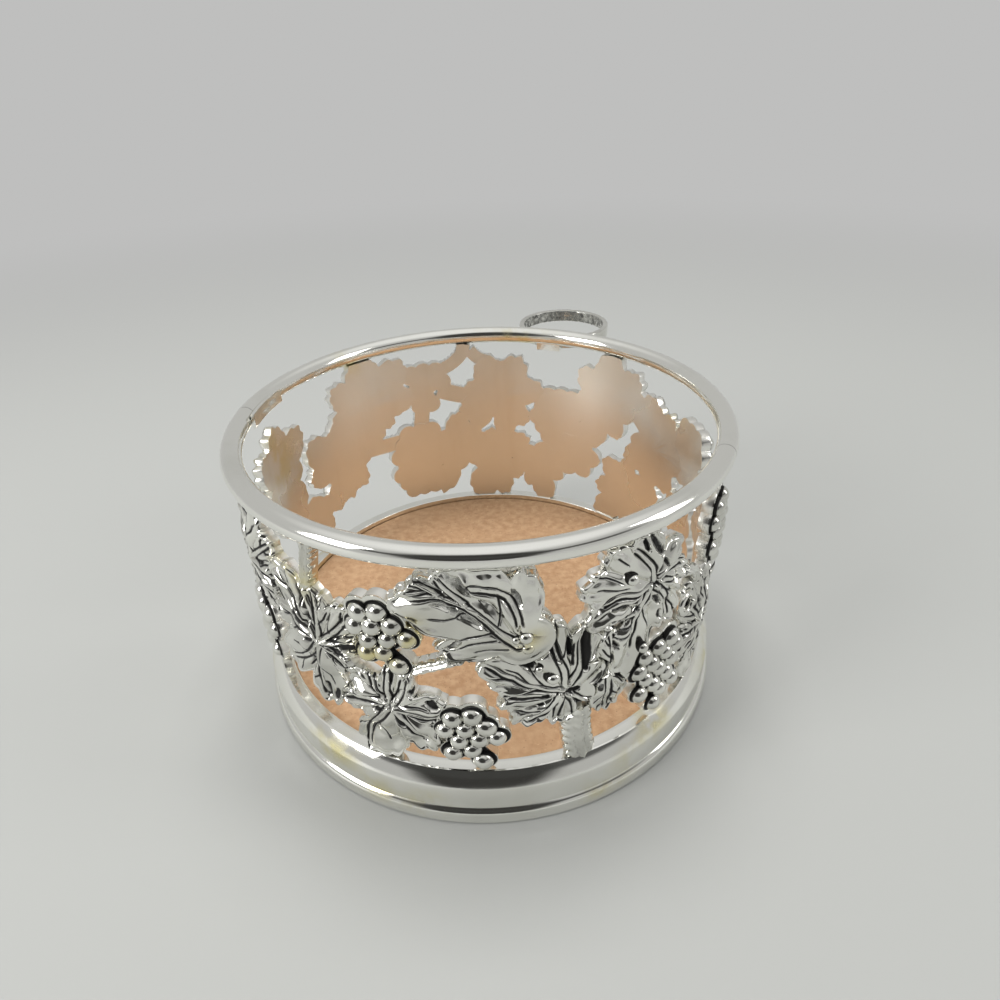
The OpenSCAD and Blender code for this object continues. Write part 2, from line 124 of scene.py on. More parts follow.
# Grape bunches: azimuth and height share of the middle of the top row, lean in degrees, grapes per row
BUNCHES = [
    (-112, 0.77, 14, [2, 3, 3, 2, 1]),
    (-95, 0.305, 8, [2, 3, 3, 2, 1]),
    (-51, 0.40, 8, [3, 4, 3, 3, 2, 1]),
    (-27, 0.85, 6, [2, 3, 3, 3, 2]),
    (-153, 0.42, -10, [3, 4, 3, 3, 2]),
    (109.5, 0.845, 0, [3, 3, 2, 2]),
    (112.5, 0.48, 0, [3, 4, 4, 4, 4, 4, 3]),
    (64, 0.68, 0, [3, 4, 4, 4, 3, 3]),
    (9, 0.80, 0, [3, 4, 4, 3, 2]),
    (12, 0.36, -8, [3, 4, 3, 3, 2, 1]),
]
GRAPE_R = 2.2
GRAPE_PITCH = 3.7

# Vine stems: points by azimuth and height share, then the width as a share of the gallery's height
STEMS = [
    ([(-104, 0.525), (-99, 0.565), (-94, 0.60), (-89, 0.615)], 0.05),
    ([(-71, 0.28), (-71, 0.14), (-69.5, -0.02)], 0.12),
    ([(-123.5, 1.02), (-125, 0.93), (-127, 0.78)], 0.05),
    ([(132, 0.47), (124, 0.46), (117.5, 0.46)], 0.09),
    ([(110.5, 0.66), (111.5, 0.55), (112, 0.47)], 0.09),
    ([(95.7, 1.03), (96.5, 0.95), (100, 0.89), (104, 0.86)], 0.075),
    ([(94, 0.96), (91.5, 0.915), (88.5, 0.895)], 0.07),
    ([(105, 0.74), (99, 0.70), (94, 0.68)], 0.10),
    ([(-40, 0.50), (-37.5, 0.57), (-39, 0.65), (-44, 0.70)], 0.05),
]

# Raised veins of the leaves at the front, from the stalk outwards, as azimuths and heights in
# millimetres. The other leaves have one along each lobe
RIBS = {
    0: [[(-83.6, 48.8), (-87.5, 52.5), (-90, 54.8), (-93, 57), (-96.5, 58.5), (-100, 58.9), (-105.5, 58)],
        [(-93.2, 57.4), (-95.6, 60.2), (-98, 63.6)], [(-97.5, 58.9), (-99.8, 60.6), (-103, 62)],
        [(-91.6, 61.2), (-88, 60.8), (-85.2, 58.8), (-83.6, 55.4), (-83.2, 52)]],
    1: [[(-56.2, 53.4), (-57.8, 49), (-59, 43.5), (-59.6, 37.5)], [(-57, 53.8), (-60, 53.4), (-64, 53.9),
        (-67.2, 51.6)], [(-58, 48.2), (-61, 47.5), (-65, 47.3)], [(-54.8, 52.8), (-51.8, 49.8), (-50, 46),
        (-48.8, 41)], [(-54.2, 54.4), (-51, 55.2), (-48, 54.9), (-45, 53.4)], [(-55.8, 55.2), (-56.5, 58.2),
        (-58.6, 61.2), (-60.5, 63)], [(-53.8, 53.7), (-50, 51.8), (-46, 49.6)]],
    2: [[(-75, 35.2), (-78, 36.2), (-81.5, 37.5), (-85, 39.5), (-88, 41.6), (-91, 43.4)], [(-76.8, 34.4),
        (-80, 35.1), (-83.5, 34.5), (-87.4, 34.3)], [(-75.4, 33.8), (-76.6, 31.5), (-79, 29), (-82.8, 27)],
        [(-75, 33.2), (-75.8, 30), (-76.1, 26.3)], [(-74.2, 33.6), (-72.6, 31), (-72, 26.5)],
        [(-74.5, 36.2), (-74.8, 40), (-76.2, 44), (-77, 49)], [(-73.6, 36.4), (-71.6, 40), (-71.2, 44),
        (-70.6, 48)], [(-73.2, 33), (-71, 31), (-68.6, 30.2)]],
    3: [[(-110.5, 31.3), (-114, 31.3), (-119, 29.2), (-122.6, 27.4)], [(-110.3, 30), (-112.2, 27),
        (-114.3, 24.3), (-116.2, 21.2), (-117.2, 17.5), (-117.3, 15)], [(-109, 30.1), (-107, 27.5),
        (-104.6, 24), (-103, 21.6)], [(-108.8, 30.6), (-106, 29.8), (-102, 29.2), (-98.8, 27.8)],
        [(-109.8, 32), (-109.8, 35.5), (-109.6, 41)], [(-109, 31.6), (-107.2, 34.6), (-106.2, 38.5)],
        [(-110.4, 31.9), (-112.6, 34.6), (-113.6, 38.5)]],
}
# Engraved lines beside those veins
CUTS = {
    0: [[(-88, 52.2), (-92, 50.4), (-95, 48.6), (-98.4, 45.8)], [(-85.6, 48.4), (-89, 47.8), (-92.4, 46.2)],
        [(-87, 60), (-86.6, 56), (-87.4, 53)], [(-98, 59.6), (-101, 60), (-104.6, 59.6)], [(-93, 55.4),
        (-97, 53.6), (-101, 53.6)], [(-87.6, 50.6), (-92, 48.8), (-95.4, 46.4)]],
    1: [[(-58.7, 46.6), (-61.5, 46), (-64, 46.3)], [(-59, 45.2), (-61.5, 44.3), (-64, 45)], [(-59.4, 43.6),
        (-62, 42.5), (-64.4, 43.8)], [(-59.8, 41.6), (-61.8, 40.6)], [(-57.2, 48), (-55.7, 44.5),
        (-54.8, 41.6)], [(-67.5, 59), (-65, 58.2), (-62.5, 56.6)], [(-68, 56.6), (-65, 56), (-61, 55.4)],
        [(-64, 62.4), (-61.8, 60.4)], [(-52.8, 51.4), (-49.8, 49), (-46.5, 46.5)], [(-50, 47),
        (-47.5, 43.6), (-46.4, 40.6)], [(-58, 64.4), (-57, 61.8)]],
    2: [[(-81.6, 36.4), (-84.5, 37.3), (-88.6, 37.4)], [(-84.2, 38.4), (-87, 39.8), (-89.8, 39.9)],
        [(-78.6, 37), (-80.2, 39.4), (-82.2, 43)], [(-82, 38.7), (-84.2, 41.2), (-86.6, 42.4)],
        [(-79.4, 32.2), (-82, 31.9), (-86, 31.9)], [(-79.6, 30.2), (-82, 30), (-85.4, 30.3)], [(-77.8, 31),
        (-80.4, 31)], [(-75, 43.4), (-73.6, 48)], [(-73, 41), (-72.6, 46.5)]],
    3: [[(-111, 29.8), (-115, 28.6), (-118.4, 27.4)], [(-121.4, 20.8), (-118.6, 22), (-115.6, 23.6)],
        [(-107.6, 31.6), (-104, 31.8), (-101, 31.2)], [(-109.2, 35), (-108.6, 40.4)], [(-119, 30.4),
        (-121.4, 31.6)], [(-113.4, 25.4), (-111.6, 22), (-111.4, 18.6)]],
}
# Dark hollows, blackened partly as tarnish and partly as painted dark reflection: leaf, azimuths and heights
# of their two ends, half width in millimetres
PITS = [
    (0, (-96.4, 64.4), (-92.6, 60.4), 1.2), (0, (-101.4, 62.6), (-97, 60.2), 0.8),
    (0, (-99, 57.2), (-94.6, 56.4), 0.6), (0, (-95.2, 56), (-90.6, 53.2), 1.0),
    (0, (-84.2, 60.6), (-83, 57.2), 0.6), (0, (-96.6, 46.9), (-94.4, 48.6), 0.6),
    (1, (-64.6, 51), (-61.4, 50.8), 1.2), (1, (-59.8, 49.3), (-59.2, 49.2), 0.7),
    (1, (-64.4, 42.6), (-62.6, 40.9), 0.7), (1, (-64.6, 39.4), (-64, 38), 0.8),
    (1, (-56, 64), (-53.6, 59.8), 1.0), (1, (-58.2, 64), (-57.2, 62), 0.5),
    (1, (-52.1, 45), (-51.8, 43.2), 0.8), (1, (-54.6, 50.4), (-52.8, 47.6), 0.7),
    (1, (-52.6, 58), (-51.6, 56.4), 0.6), (2, (-77.4, 47.6), (-75.6, 42.4), 0.95),
    (2, (-69.7, 47), (-70.4, 39.6), 1.1), (2, (-73.2, 34.6), (-71.8, 34.2), 1.1),
    (2, (-80, 32.2), (-79, 31.9), 0.7), (2, (-83.6, 44.6), (-81, 42), 1.2),
    (2, (-69, 30.4), (-68, 29.8), 0.9), (2, (-79, 34.7), (-77.6, 34.3), 0.5),
    (2, (-73.6, 46.6), (-73.4, 43.2), 0.6), (3, (-117.6, 35.6), (-112, 33.2), 1.0),
    (3, (-108, 33), (-106.8, 35.4), 0.8), (3, (-104.8, 35.4), (-102.6, 36.4), 1.2),
    (3, (-101.8, 32.8), (-100, 32), 0.9), (3, (-113.2, 28.8), (-111.8, 29.2), 0.6),
    (3, (-108.6, 27.6), (-107.2, 26), 0.8), (3, (-109, 37), (-108.6, 40.6), 0.5),
    (4, (-127.8, 24.5), (-126, 29.5), 1.0), (4, (-124.8, 25), (-123.6, 28.5), 0.9),
    (4, (-128.4, 44.6), (-127, 48), 0.8), (4, (-120.6, 42.2), (-116.6, 44), 0.8),
    (4, (-130.6, 39.5), (-128, 40.6), 0.6),
]
# Buds and berries cast on the leaves: leaf, azimuth, height and radius in millimetres
BUDS = [
    (0, -82.2, 50.4, 1.3), (0, -81.9, 47.8, 1.2), (0, -84.0, 50.0, 0.8), (2, -77.0, 39.0, 1.2),
    (2, -79.8, 42.0, 0.7), (1, -61.2, 57.4, 1.2), (4, -125.0, 42.2, 0.8), (1, -56.9, 38.6, 1.2),
]
# Tendril curl on a stem: stem, azimuth, height, radius and half thickness
CURL = (8, -41.5, 40.5, 2.3, 0.75)


def turn(a):
    """Degrees brought into the range from -180 to 180."""
    return (a + 180.0) % 360.0 - 180.0


def smooth(x):
    """0 below 0, 1 above 1, and a smooth rise between."""
    x = np.clip(x, 0.0, 1.0)
    return x * x * (3 - 2 * x)


# Camera

CAMERA_PLACE = (3.92, -148.49, 137.29)
CAMERA_TILT = 57.91
CAMERA_ROLL = -2.034
FOCAL_PX = 701.93
IMAGE_PX = 1000


def make_camera():
    data = bpy.data.cameras.new("camera")
    data.sensor_width = 36.0
    data.sensor_fit = "HORIZONTAL"
    data.lens = data.sensor_width * FOCAL_PX / IMAGE_PX
    data.clip_start = 0.005
    data.clip_end = 20.0
    cam = bpy.data.objects.new("camera", data)
    tilt = Matrix.Rotation(math.radians(CAMERA_TILT), 4, "X")
    roll = Matrix.Rotation(math.radians(CAMERA_ROLL), 4, "Z")
    cam.matrix_world = Matrix.Translation(Vector(CAMERA_PLACE) * MM) @ tilt @ roll
    bpy.context.scene.collection.objects.link(cam)
    bpy.context.scene.camera = cam


make_camera()


# Materials


class Nodes:
    """Short ways to add and join the shader nodes of one tree."""

    def __init__(self, tree):
        self.tree = tree
        tree.nodes.clear()

    def put(self, value, socket):
        if isinstance(value, bpy.types.NodeSocket):
            self.tree.links.new(value, socket)
        elif isinstance(value, tuple) and len(value) == 3 and socket.type == "RGBA":
            socket.default_value = (*value, 1.0)
        else:
            socket.default_value = value

    def add(self, kind, out=0, inputs=None, **settings):
        """Adds a node, gives its inputs their values or links, and returns one of its outputs."""
        node = self.tree.nodes.new(kind)
        for key, value in settings.items():
            setattr(node, key, value)
        for key, value in (inputs or {}).items():
            self.put(value, node.inputs[key])
        return node.outputs[out]

    def coords(self, scale=(1.0, 1.0, 1.0)):
        place = self.add("ShaderNodeTexCoord", "Object")
        return self.add("ShaderNodeMapping", 0, {"Scale": scale, "Vector": place})

    def noise(self, scale, detail=4.0, rough=0.55, stretch=(1.0, 1.0, 1.0), distortion=0.0):
        inputs = {"Scale": scale, "Detail": detail, "Roughness": rough, "Distortion": distortion}
        return self.add("ShaderNodeTexNoise", "Fac", inputs | {"Vector": self.coords(stretch)})

    def specks(self, scale):
        return self.add("ShaderNodeTexVoronoi", "Distance", {"Scale": scale, "Vector": self.coords()})

    def ramp(self, value, low, high, out_low=0.0, out_high=1.0):
        inputs = {"Value": value, "From Min": low, "From Max": high, "To Min": out_low, "To Max": out_high}
        return self.add("ShaderNodeMapRange", "Result", inputs, interpolation_type="SMOOTHSTEP")

    def math(self, operation, a, b=0.0):
        return self.add("ShaderNodeMath", 0, {0: a, 1: b}, operation=operation)

    def vector(self, operation, a, b=(0.0, 0.0, 0.0)):
        return self.add("ShaderNodeVectorMath", "Value", {0: a, 1: b}, operation=operation)

    def mix(self, factor, a, b):
        return self.add("ShaderNodeMix", 2, {0: factor, 6: a, 7: b}, data_type="RGBA")

    def blend(self, factor, a, b):
        """Mixes two shaders."""
        return self.add("ShaderNodeMixShader", 0, {0: factor, 1: a, 2: b})

    def seen_directly(self):
        """1 for camera, glossy and transmission rays, then 1 for camera rays alone."""
        camera, glossy, through = (self.add("ShaderNodeLightPath", f"Is {kind} Ray")
                                   for kind in ("Camera", "Glossy", "Transmission"))
        return self.math("MAXIMUM", camera, self.math("MAXIMUM", glossy, through)), camera

    def attribute(self, name):
        return self.add("ShaderNodeAttribute", "Fac", attribute_name=name)

    def stain(self, scale, detail, low, high):
        """The stained places, broken up by a noise."""
        return self.math("MULTIPLY", self.attribute("stain"), self.ramp(self.noise(scale, detail), low, high))

    def crevice_shade(self, distance):
        """Painted shade: 0 on open surfaces, towards 1 in crevices, found by ambient occlusion."""
        open_sky = self.add("ShaderNodeAmbientOcclusion", "AO", {"Distance": distance}, samples=6)
        return self.math("SUBTRACT", 1.0, open_sky)

    def bump(self, height, strength, distance, below=None):
        inputs = {"Strength": strength, "Distance": distance, "Height": height}
        if below is not None:
            inputs["Normal"] = below
        return self.add("ShaderNodeBump", "Normal", inputs)


class Surface(Nodes):
    """A new material with one Principled shader."""

    def __init__(self, name):
        self.mat = bpy.data.materials.new(name)
        self.mat.use_nodes = True
        super().__init__(self.mat.node_tree)
        self.bsdf = self.tree.nodes.new("ShaderNodeBsdfPrincipled")
        self.out = self.tree.nodes.new("ShaderNodeOutputMaterial").inputs["Surface"]
        self.put(self.bsdf.outputs["BSDF"], self.out)

    def finish(self, color, rough, normal=None, metallic=1.0, specular=0.5):
        for value, name in ((color, "Base Color"), (rough, "Roughness"), (metallic, "Metallic"),
                            (specular, "Specular IOR Level")):
            self.put(value, self.bsdf.inputs[name])
        if normal is not None:
            self.put(normal, self.bsdf.inputs["Normal"])
        return self.mat


SILVER = (0.86, 0.855, 0.805)
POLISH = (0.93, 0.925, 0.88)
DULL = (0.73, 0.725, 0.66)
TARNISH = (0.60, 0.595, 0.55)
STAIN = (0.80, 0.72, 0.38)
# Near-black of the tarnish in the hollows and of the shade painted into crevices
TARNISH_AND_SHADE_BLACK = (0.020, 0.019, 0.018)


def polished_silver():
    """Bright plate with faint smudges, hairline scratches and yellow stains, and painted shade in its
    crevices.
    """
    n = Surface("polished_silver")
    smudge = n.noise(60, 6)
    stain = n.stain(160, 5, 0.38, 0.62)
    color = n.mix(n.ramp(smudge, 0.45, 0.75, 0.0, 0.35), POLISH, DULL)
    color = n.mix(stain, color, STAIN)
    # Painted shade: crevices found by ambient occlusion are darkened towards near-black
    color = n.mix(n.ramp(n.crevice_shade(0.0010), 0.5, 0.95, 0.0, 0.8), color, TARNISH_AND_SHADE_BLACK)
    rough = n.math("ADD", n.ramp(smudge, 0.3, 0.8, 0.06, 0.13), n.math("MULTIPLY", stain, 0.25))
    waves = n.bump(n.noise(70, 2), 0.18, 0.00012)
    normal = n.bump(n.noise(900, 3, stretch=(1.0, 1.0, 6.0)), 0.05, 0.00005, waves)
    return n.finish(color, rough, normal)


def antique_silver():
    """Cast plate, blackened in its hollows, partly as tarnish and partly as painted shade and painted dark
    reflection, and rubbed bright on its high parts.
    """
    n = Surface("antique_silver")
    grain = n.noise(900, 4)
    # The hollow attribute carries tarnish in veins and hollows together with painted shade under overlapping
    # motifs and between grapes, and painted dark reflection in the pits; ambient occlusion adds painted shade
    # in crevices
    hollow = n.math("ADD", n.attribute("hollow"), n.ramp(n.crevice_shade(0.0016), 0.5, 0.95, 0.0, 0.5))
    dark = n.ramp(n.math("ADD", hollow, n.ramp(grain, 0.3, 0.7, -0.10, 0.10)), 0.22, 0.62)
    stain = n.stain(220, 4, 0.4, 0.6)
    color = n.mix(n.ramp(n.noise(70, 4), 0.35, 0.68, 0.05, 0.85), SILVER, TARNISH)
    color = n.mix(stain, color, STAIN)
    color = n.mix(dark, color, TARNISH_AND_SHADE_BLACK)
    rough = n.math("ADD", n.ramp(dark, 0.0, 1.0, 0.09, 0.55), n.math("MULTIPLY", stain, 0.2))
    normal = n.bump(grain, 0.07, 0.00006)
    return n.finish(color, rough, normal, n.math("SUBTRACT", 1.0, n.math("MULTIPLY", dark, 0.85)), 0.2)


def satin_silver():
    """Inner face and sawn edges of the gallery: satin, with soft upright streaks, faintly yellow."""
    n = Surface("satin_silver")
    patch = n.noise(28, 4)
    stain = n.stain(120, 5, 0.38, 0.62)
    color = n.mix(n.ramp(patch, 0.4, 0.7), (0.90, 0.885, 0.84), (0.86, 0.84, 0.78))
    streaks = n.noise(160, 4, stretch=(1.0, 1.0, 0.15))
    color = n.mix(n.ramp(streaks, 0.5, 0.75, 0.0, 0.35), color, (0.80, 0.76, 0.68))
    color = n.mix(stain, color, STAIN)
    rough = n.ramp(patch, 0.3, 0.7, 0.25, 0.34)
    lumps = n.bump(n.noise(80, 2), 0.2, 0.0002)
    normal = n.bump(n.noise(1500, 3, stretch=(1.0, 1.0, 0.12)), 0.08, 0.00004, lumps)
    return n.finish(color, rough, normal)


def cork():
    """Fine pressed cork: tan grains with dark and pale specks."""
    n = Surface("cork")
    color = n.mix(n.ramp(n.noise(500, 5), 0.3, 0.7), (0.445, 0.265, 0.145), (0.57, 0.37, 0.22))
    color = n.mix(n.ramp(n.noise(60, 4), 0.4, 0.7, 0.0, 0.4), color, (0.52, 0.325, 0.185))
    color = n.mix(n.ramp(n.specks(1100), 0.16, 0.06), color, (0.22, 0.115, 0.06))
    color = n.mix(n.ramp(n.noise(1500, 2), 0.66, 0.74, 0.0, 0.8), color, (0.71, 0.52, 0.33))
    normal = n.bump(n.noise(1200, 4), 0.5, 0.0002)
    return n.finish(color, n.ramp(n.noise(400, 3), 0.3, 0.7, 0.68, 0.9), normal, 0.0, 0.10)


def felt():
    """Dark green felt."""
    n = Surface("felt")
    color = n.mix(n.ramp(n.noise(1800, 5, 0.7), 0.3, 0.7), (0.012, 0.035, 0.022), (0.035, 0.075, 0.05))
    normal = n.bump(n.noise(2500, 6, 0.7, distortion=1.5), 0.8, 0.0003)
    n.bsdf.inputs["Sheen Weight"].default_value = 0.4
    n.bsdf.inputs["Sheen Roughness"].default_value = 0.5
    return n.finish(color, 0.95, normal, 0.0)


def core_wood():
    """Pale wood with a straight grain."""
    n = Surface("core_wood")
    rings = n.noise(40, 4, stretch=(1.0, 9.0, 1.0), distortion=0.6)
    color = n.mix(n.ramp(rings, 0.3, 0.7), (0.42, 0.26, 0.13), (0.56, 0.38, 0.21))
    normal = n.bump(n.noise(300, 4, stretch=(1.0, 12.0, 1.0)), 0.25, 0.0002)
    return n.finish(color, 0.6, normal, 0.0)


MAKERS = (polished_silver, antique_silver, satin_silver, cork, felt, core_wood)
MAT = {maker.__name__: maker() for maker in MAKERS}


# Meshes


def make_piece(name, points, faces, materials, nodes, inner=(), hollow=None, stain=None):
    """Adds a smooth piece that rides on the coaster's body. points are in millimetres, and inner lists
    the faces that take the second material."""
    mesh = bpy.data.meshes.new(name)
    mesh.from_pydata((np.asarray(points) * MM).tolist(), [], faces)
    mesh.update()
    mesh.polygons.foreach_set("use_smooth", [True] * len(mesh.polygons))
    for m in materials:
        mesh.materials.append(MAT[m])
    if len(inner):
        index = np.zeros(len(mesh.polygons), dtype=np.int32)
        index[list(inner)] = 1
        mesh.polygons.foreach_set("material_index", index)
    for key, values in (("hollow", hollow), ("stain", stain)):
        layer = mesh.attributes.new(key, "FLOAT", "POINT")
        layer.data.foreach_set("value", np.zeros(len(points)) if values is None else values)
    obj = bpy.data.objects.new(name, mesh)
    bpy.context.scene.collection.objects.link(obj)
    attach(obj, "root")
    if nodes:
        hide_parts(*nodes)
    return obj


def dress(node, material):
    """Gives a solid that is shown as it is its material."""
    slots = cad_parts[node].data.materials
    slots.clear()
    slots.append(MAT[material])


def sharpen(obj, degrees):
    """Marks the edges that are sharper than an angle, so that they shade crisply."""
    bm = bmesh.new()
    bm.from_mesh(obj.data)
    limit = math.radians(degrees)
    for edge in bm.edges:
        if len(edge.link_faces) == 2 and edge.calc_face_angle(0.0) > limit:
            edge.smooth = False
    bm.to_mesh(obj.data)
    bm.free()


def arc(mid, radius, start, end, steps):
    """Points of an arc in the (radius, height) plane, in degrees from outwards towards up."""
    angles = [math.radians(start + (end - start) * k / steps) for k in range(steps + 1)]
    return [(mid[0] + radius * math.cos(a), mid[1] + radius * math.sin(a)) for a in angles]


def soft_box(in_r, out_r, low, high, soft, steps):
    """Closed section of a band with rounded corners."""
    corners = [(out_r - soft, low + soft), (out_r - soft, high - soft),
               (in_r + soft, high - soft), (in_r + soft, low + soft)]
    return [p for k, mid in enumerate(corners) for p in arc(mid, soft, 90 * k - 90, 90 * k, steps)]


def row_faces(rows, size, first=0, joined=False, capped=False):
    """Faces between rows of points that each close on themselves. The last row is joined to the
    first one, or the ends are capped, or they stay open."""
    faces = []
    for k in range(rows if joined else rows - 1):
        a, b = first + k * size, first + (k + 1) % rows * size
        for i in range(size):
            j = (i + 1) % size
            faces.append((a + i, b + i, b + j, a + j))
    if capped:
        faces.append(tuple(range(size)))
        faces.append(tuple((rows - 1) * size + k for k in range(size - 1, -1, -1)))
    return faces


def shell_faces(rings, rays):
    """Faces of rings of points between a first point and a last one."""
    last = 1 + (rings - 1) * rays
    after = [(i + 1) % rays for i in range(rays)]
    return ([(0, 1 + i, 1 + after[i]) for i in range(rays)] + row_faces(rings, rays, 1)
            + [(last + i, last + rays, last + after[i]) for i in range(rays)])


def revolve(profile, steps, start=0.0, end=360.0, middle=(0.0, 0.0, 0.0)):
    """Turns a closed profile about the upright axis. Returns points and faces; an open turn is capped."""
    whole = abs(end - start) >= 360.0
    count = steps if whole else steps + 1
    points = []
    for i in range(count):
        a = math.radians(start + (end - start) * i / steps)
        c, s = math.cos(a), math.sin(a)
        points += [(middle[0] + r * c, middle[1] + r * s, middle[2] + z) for r, z in profile]
    return points, row_faces(count, len(profile), joined=whole, capped=not whole)


def polar(points):
    """Azimuth in degrees and height of each point."""
    p = np.asarray(points)
    return np.degrees(np.arctan2(p[:, 1], p[:, 0])), p[:, 2]


# Yellow stains: azimuth, height, reach along the wall in degrees, reach up in millimetres, strength
STAINS = [
    (-127, 10, 7, 2.5, 1.0), (-115, 5, 5, 2, 0.8), (-104, 4, 4, 2, 0.7), (-58, 8, 4, 3, 0.8),
    (-50, 12, 5, 2, 0.9), (-66, 3, 5, 1.5, 0.6), (-130, 56, 8, 4, 0.8), (-104, 50, 3, 4, 0.9),
    (-112, 44, 5, 2.5, 0.9), (-82, 50, 3, 2, 0.9), (-97, 37, 4, 2, 0.6), (80, 67, 9, 3, 1.0),
    (134, 67, 5, 3, 0.6), (172, 55, 8, 6, 0.8), (166, 45, 8, 7, 0.6), (20, 58, 6, 3, 0.5),
    (160, 13, 10, 2, 0.6), (30, 11, 9, 2, 0.6), (-20, 10, 8, 3, 0.6), (-160, 8, 9, 3, 0.6),
]


def stain_of(points):
    """How strongly each point is stained."""
    a, z = polar(points)
    total = np.zeros(len(a))
    for mid_a, mid_z, wide, high, strength in STAINS:
        total += strength * np.exp(-(turn(a - mid_a) / wide) ** 2 - ((z - mid_z) / high) ** 2)
    return np.clip(total, 0.0, 1.0)


# Base ring, cork, felt and core

CORNER_R = 0.25
# Points of the profile that lie closer than this are left out
APART = 0.01
# Points that round the ledge's outer edge: how far in and how far down they lie
LEDGE_EDGE = [(0.22, 0.02), (0.5, 0.04)]


def crown(lower, upper, radius, steps):
    """Points of an arc that bulges out between a lower and an upper point of the profile."""
    half = (np.array(lower) - np.array(upper)) / 2
    size = math.hypot(*half)
    mid = np.array(upper) + half + np.array([half[1], -half[0]]) / size * math.sqrt(radius ** 2 - size ** 2)
    ends = [math.degrees(math.atan2(p[1] - mid[1], p[0] - mid[0])) for p in (lower, upper)]
    return arc(mid, radius, *ends, steps)


def base_profile():
    """Closed outline of the base ring, from the flange's inner corner outwards and up."""
    over, top = SHOULDER_OVER, LEDGE_Z - LEDGE_SINK
    outline = [(BORE_R - FLANGE_W, 0.0), (BORE_R, 0.0)]
    outline += arc((FOOT_R - FOOT_EDGE_R, FOOT_EDGE_R), FOOT_EDGE_R, -90, 0, 8)
    low = crown((FOOT_R + over, FOOT_H), (BAND_R - over, BAND_LOW_Z), FOOT_SHOULDER_R, 24)
    outline += [(FOOT_R, FOOT_H - 0.1)] + [p for p in low if BAND_R < p[0] < FOOT_R - APART]
    high = crown((BAND_R + over, BAND_HIGH_Z), (LEDGE_R - over, LEDGE_Z), LEDGE_SHOULDER_R, 48)
    outline += [(BAND_R, BAND_LOW_Z), (BAND_R, BAND_HIGH_Z)]
    outline += [p for p in high if p[0] < BAND_R - APART and p[1] < LEDGE_Z - 0.12]
    outline += [(LEDGE_R - along, LEDGE_Z - down) for along, down in LEDGE_EDGE] + [(BORE_R + 0.9, top)]
    outline += arc((BORE_R + CORNER_R, top - CORNER_R), CORNER_R, 90, 180, 5)
    outline += [(BORE_R, CORK_TOP_Z - 0.5), (BORE_R, FLANGE_T), (BORE_R - FLANGE_W + CORNER_R, FLANGE_T),
                (BORE_R - FLANGE_W, FLANGE_T - CORNER_R)]
    return outline


def make_base():
    points, faces = revolve(base_profile(), 360)
    base = make_piece("base_ring_turned", points, faces, ["polished_silver"], ["base_ring"],
                      stain=stain_of(points))
    sharpen(base, 16)


def disc(radius, low, high, rings, steps, edge_r, wave=0.0, seed=0):
    """A disc with rounded edges and a top that waves a little."""
    rng = np.random.default_rng(seed)
    phases = rng.uniform(0, 2 * math.pi, 2)
    levels = [(radius * k / rings, high) for k in range(1, rings)]
    levels += arc((radius - edge_r, high - edge_r), edge_r, 90, 0, 4)
    levels += [(radius, low), (radius * 0.5, low)]
    points = [(0, 0, high)]
    for r, z in levels:
        for i in range(steps):
            a = 2 * math.pi * i / steps
            x, y = r * math.cos(a), r * math.sin(a)
            lift = wave * (math.sin(x / 9 + phases[0]) + math.sin(y / 8 + phases[1])) if z == high else 0.0
            points.append((x, y, z + lift))
    points.append((0, 0, low))
    return points, shell_faces(len(levels), steps)


def make_floor_discs():
    points, faces = disc(BORE_R - DISC_GAP, CORK_TOP_Z - CORK_T, CORK_TOP_Z, 24, 144, 0.4, 0.03, 1)
    make_piece("cork_floor", points, faces, ["cork"], ["cork_pad"])
    points, faces = disc(BORE_R - FLANGE_W - DISC_GAP, 0.0, FLANGE_T, 10, 120, 0.3)
    make_piece("felt_disc", points, faces, ["felt"], ["felt_pad"])
    dress("core_disc", "core_wood")


# Rim and stopper ring

LAP_T = 0.8
LAP_GAP = 0.05
LAP_H_SHARE = 0.8
LAP_REAR_A = 13.5
LAP_FRONT_A = 3.4


def rim_profile():
    """Round section with the flat that sits on the gallery."""
    half = math.degrees(math.asin((RIM_BEAD_R - RIM_FLAT) / RIM_BEAD_R))
    return arc((RIM_MID_R, RIM_MID_Z), RIM_BEAD_R, -half, 180 + half, 44)


def make_rim():
    gap = math.degrees(JOINT_GAP / RIM_MID_R)
    halves = [("rim_front_half", "rim_front", JOINT_LEFT - 360, JOINT_RIGHT),
              ("rim_rear_half", "rim_rear", JOINT_RIGHT, JOINT_LEFT)]
    for name, node, start, end in halves:
        points, faces = revolve(rim_profile(), int(end - start), start + gap / 2, end - gap / 2)
        if node == "rim_front":
            strip, more = revolve(lap_profile(), 16, JOINT_LEFT - LAP_REAR_A, JOINT_LEFT + LAP_FRONT_A)
            faces += [tuple(len(points) + k for k in f) for f in more]
            points += strip
        sharpen(make_piece(name, points, faces, ["polished_silver"], [node],
                           stain=stain_of(points)), 50)


def lap_profile():
    """Section of the strip brazed behind the left-hand joint."""
    out_r = RIM_MID_R - RIM_BEAD_R - LAP_GAP
    half = RIM_BEAD_R * LAP_H_SHARE
    return soft_box(out_r - LAP_T, out_r, RIM_MID_Z - half, RIM_MID_Z + half, CORNER_R, 3)


STOPPER_BORE_R = 12.2
STOPPER_WALL = 1.6
STOPPER_H = 3.6
STOPPER_DROP = 2.8
STOPPER_A = 69.0
STOPPER_GAP = 0.6
STOPPER_SOFT = 0.5


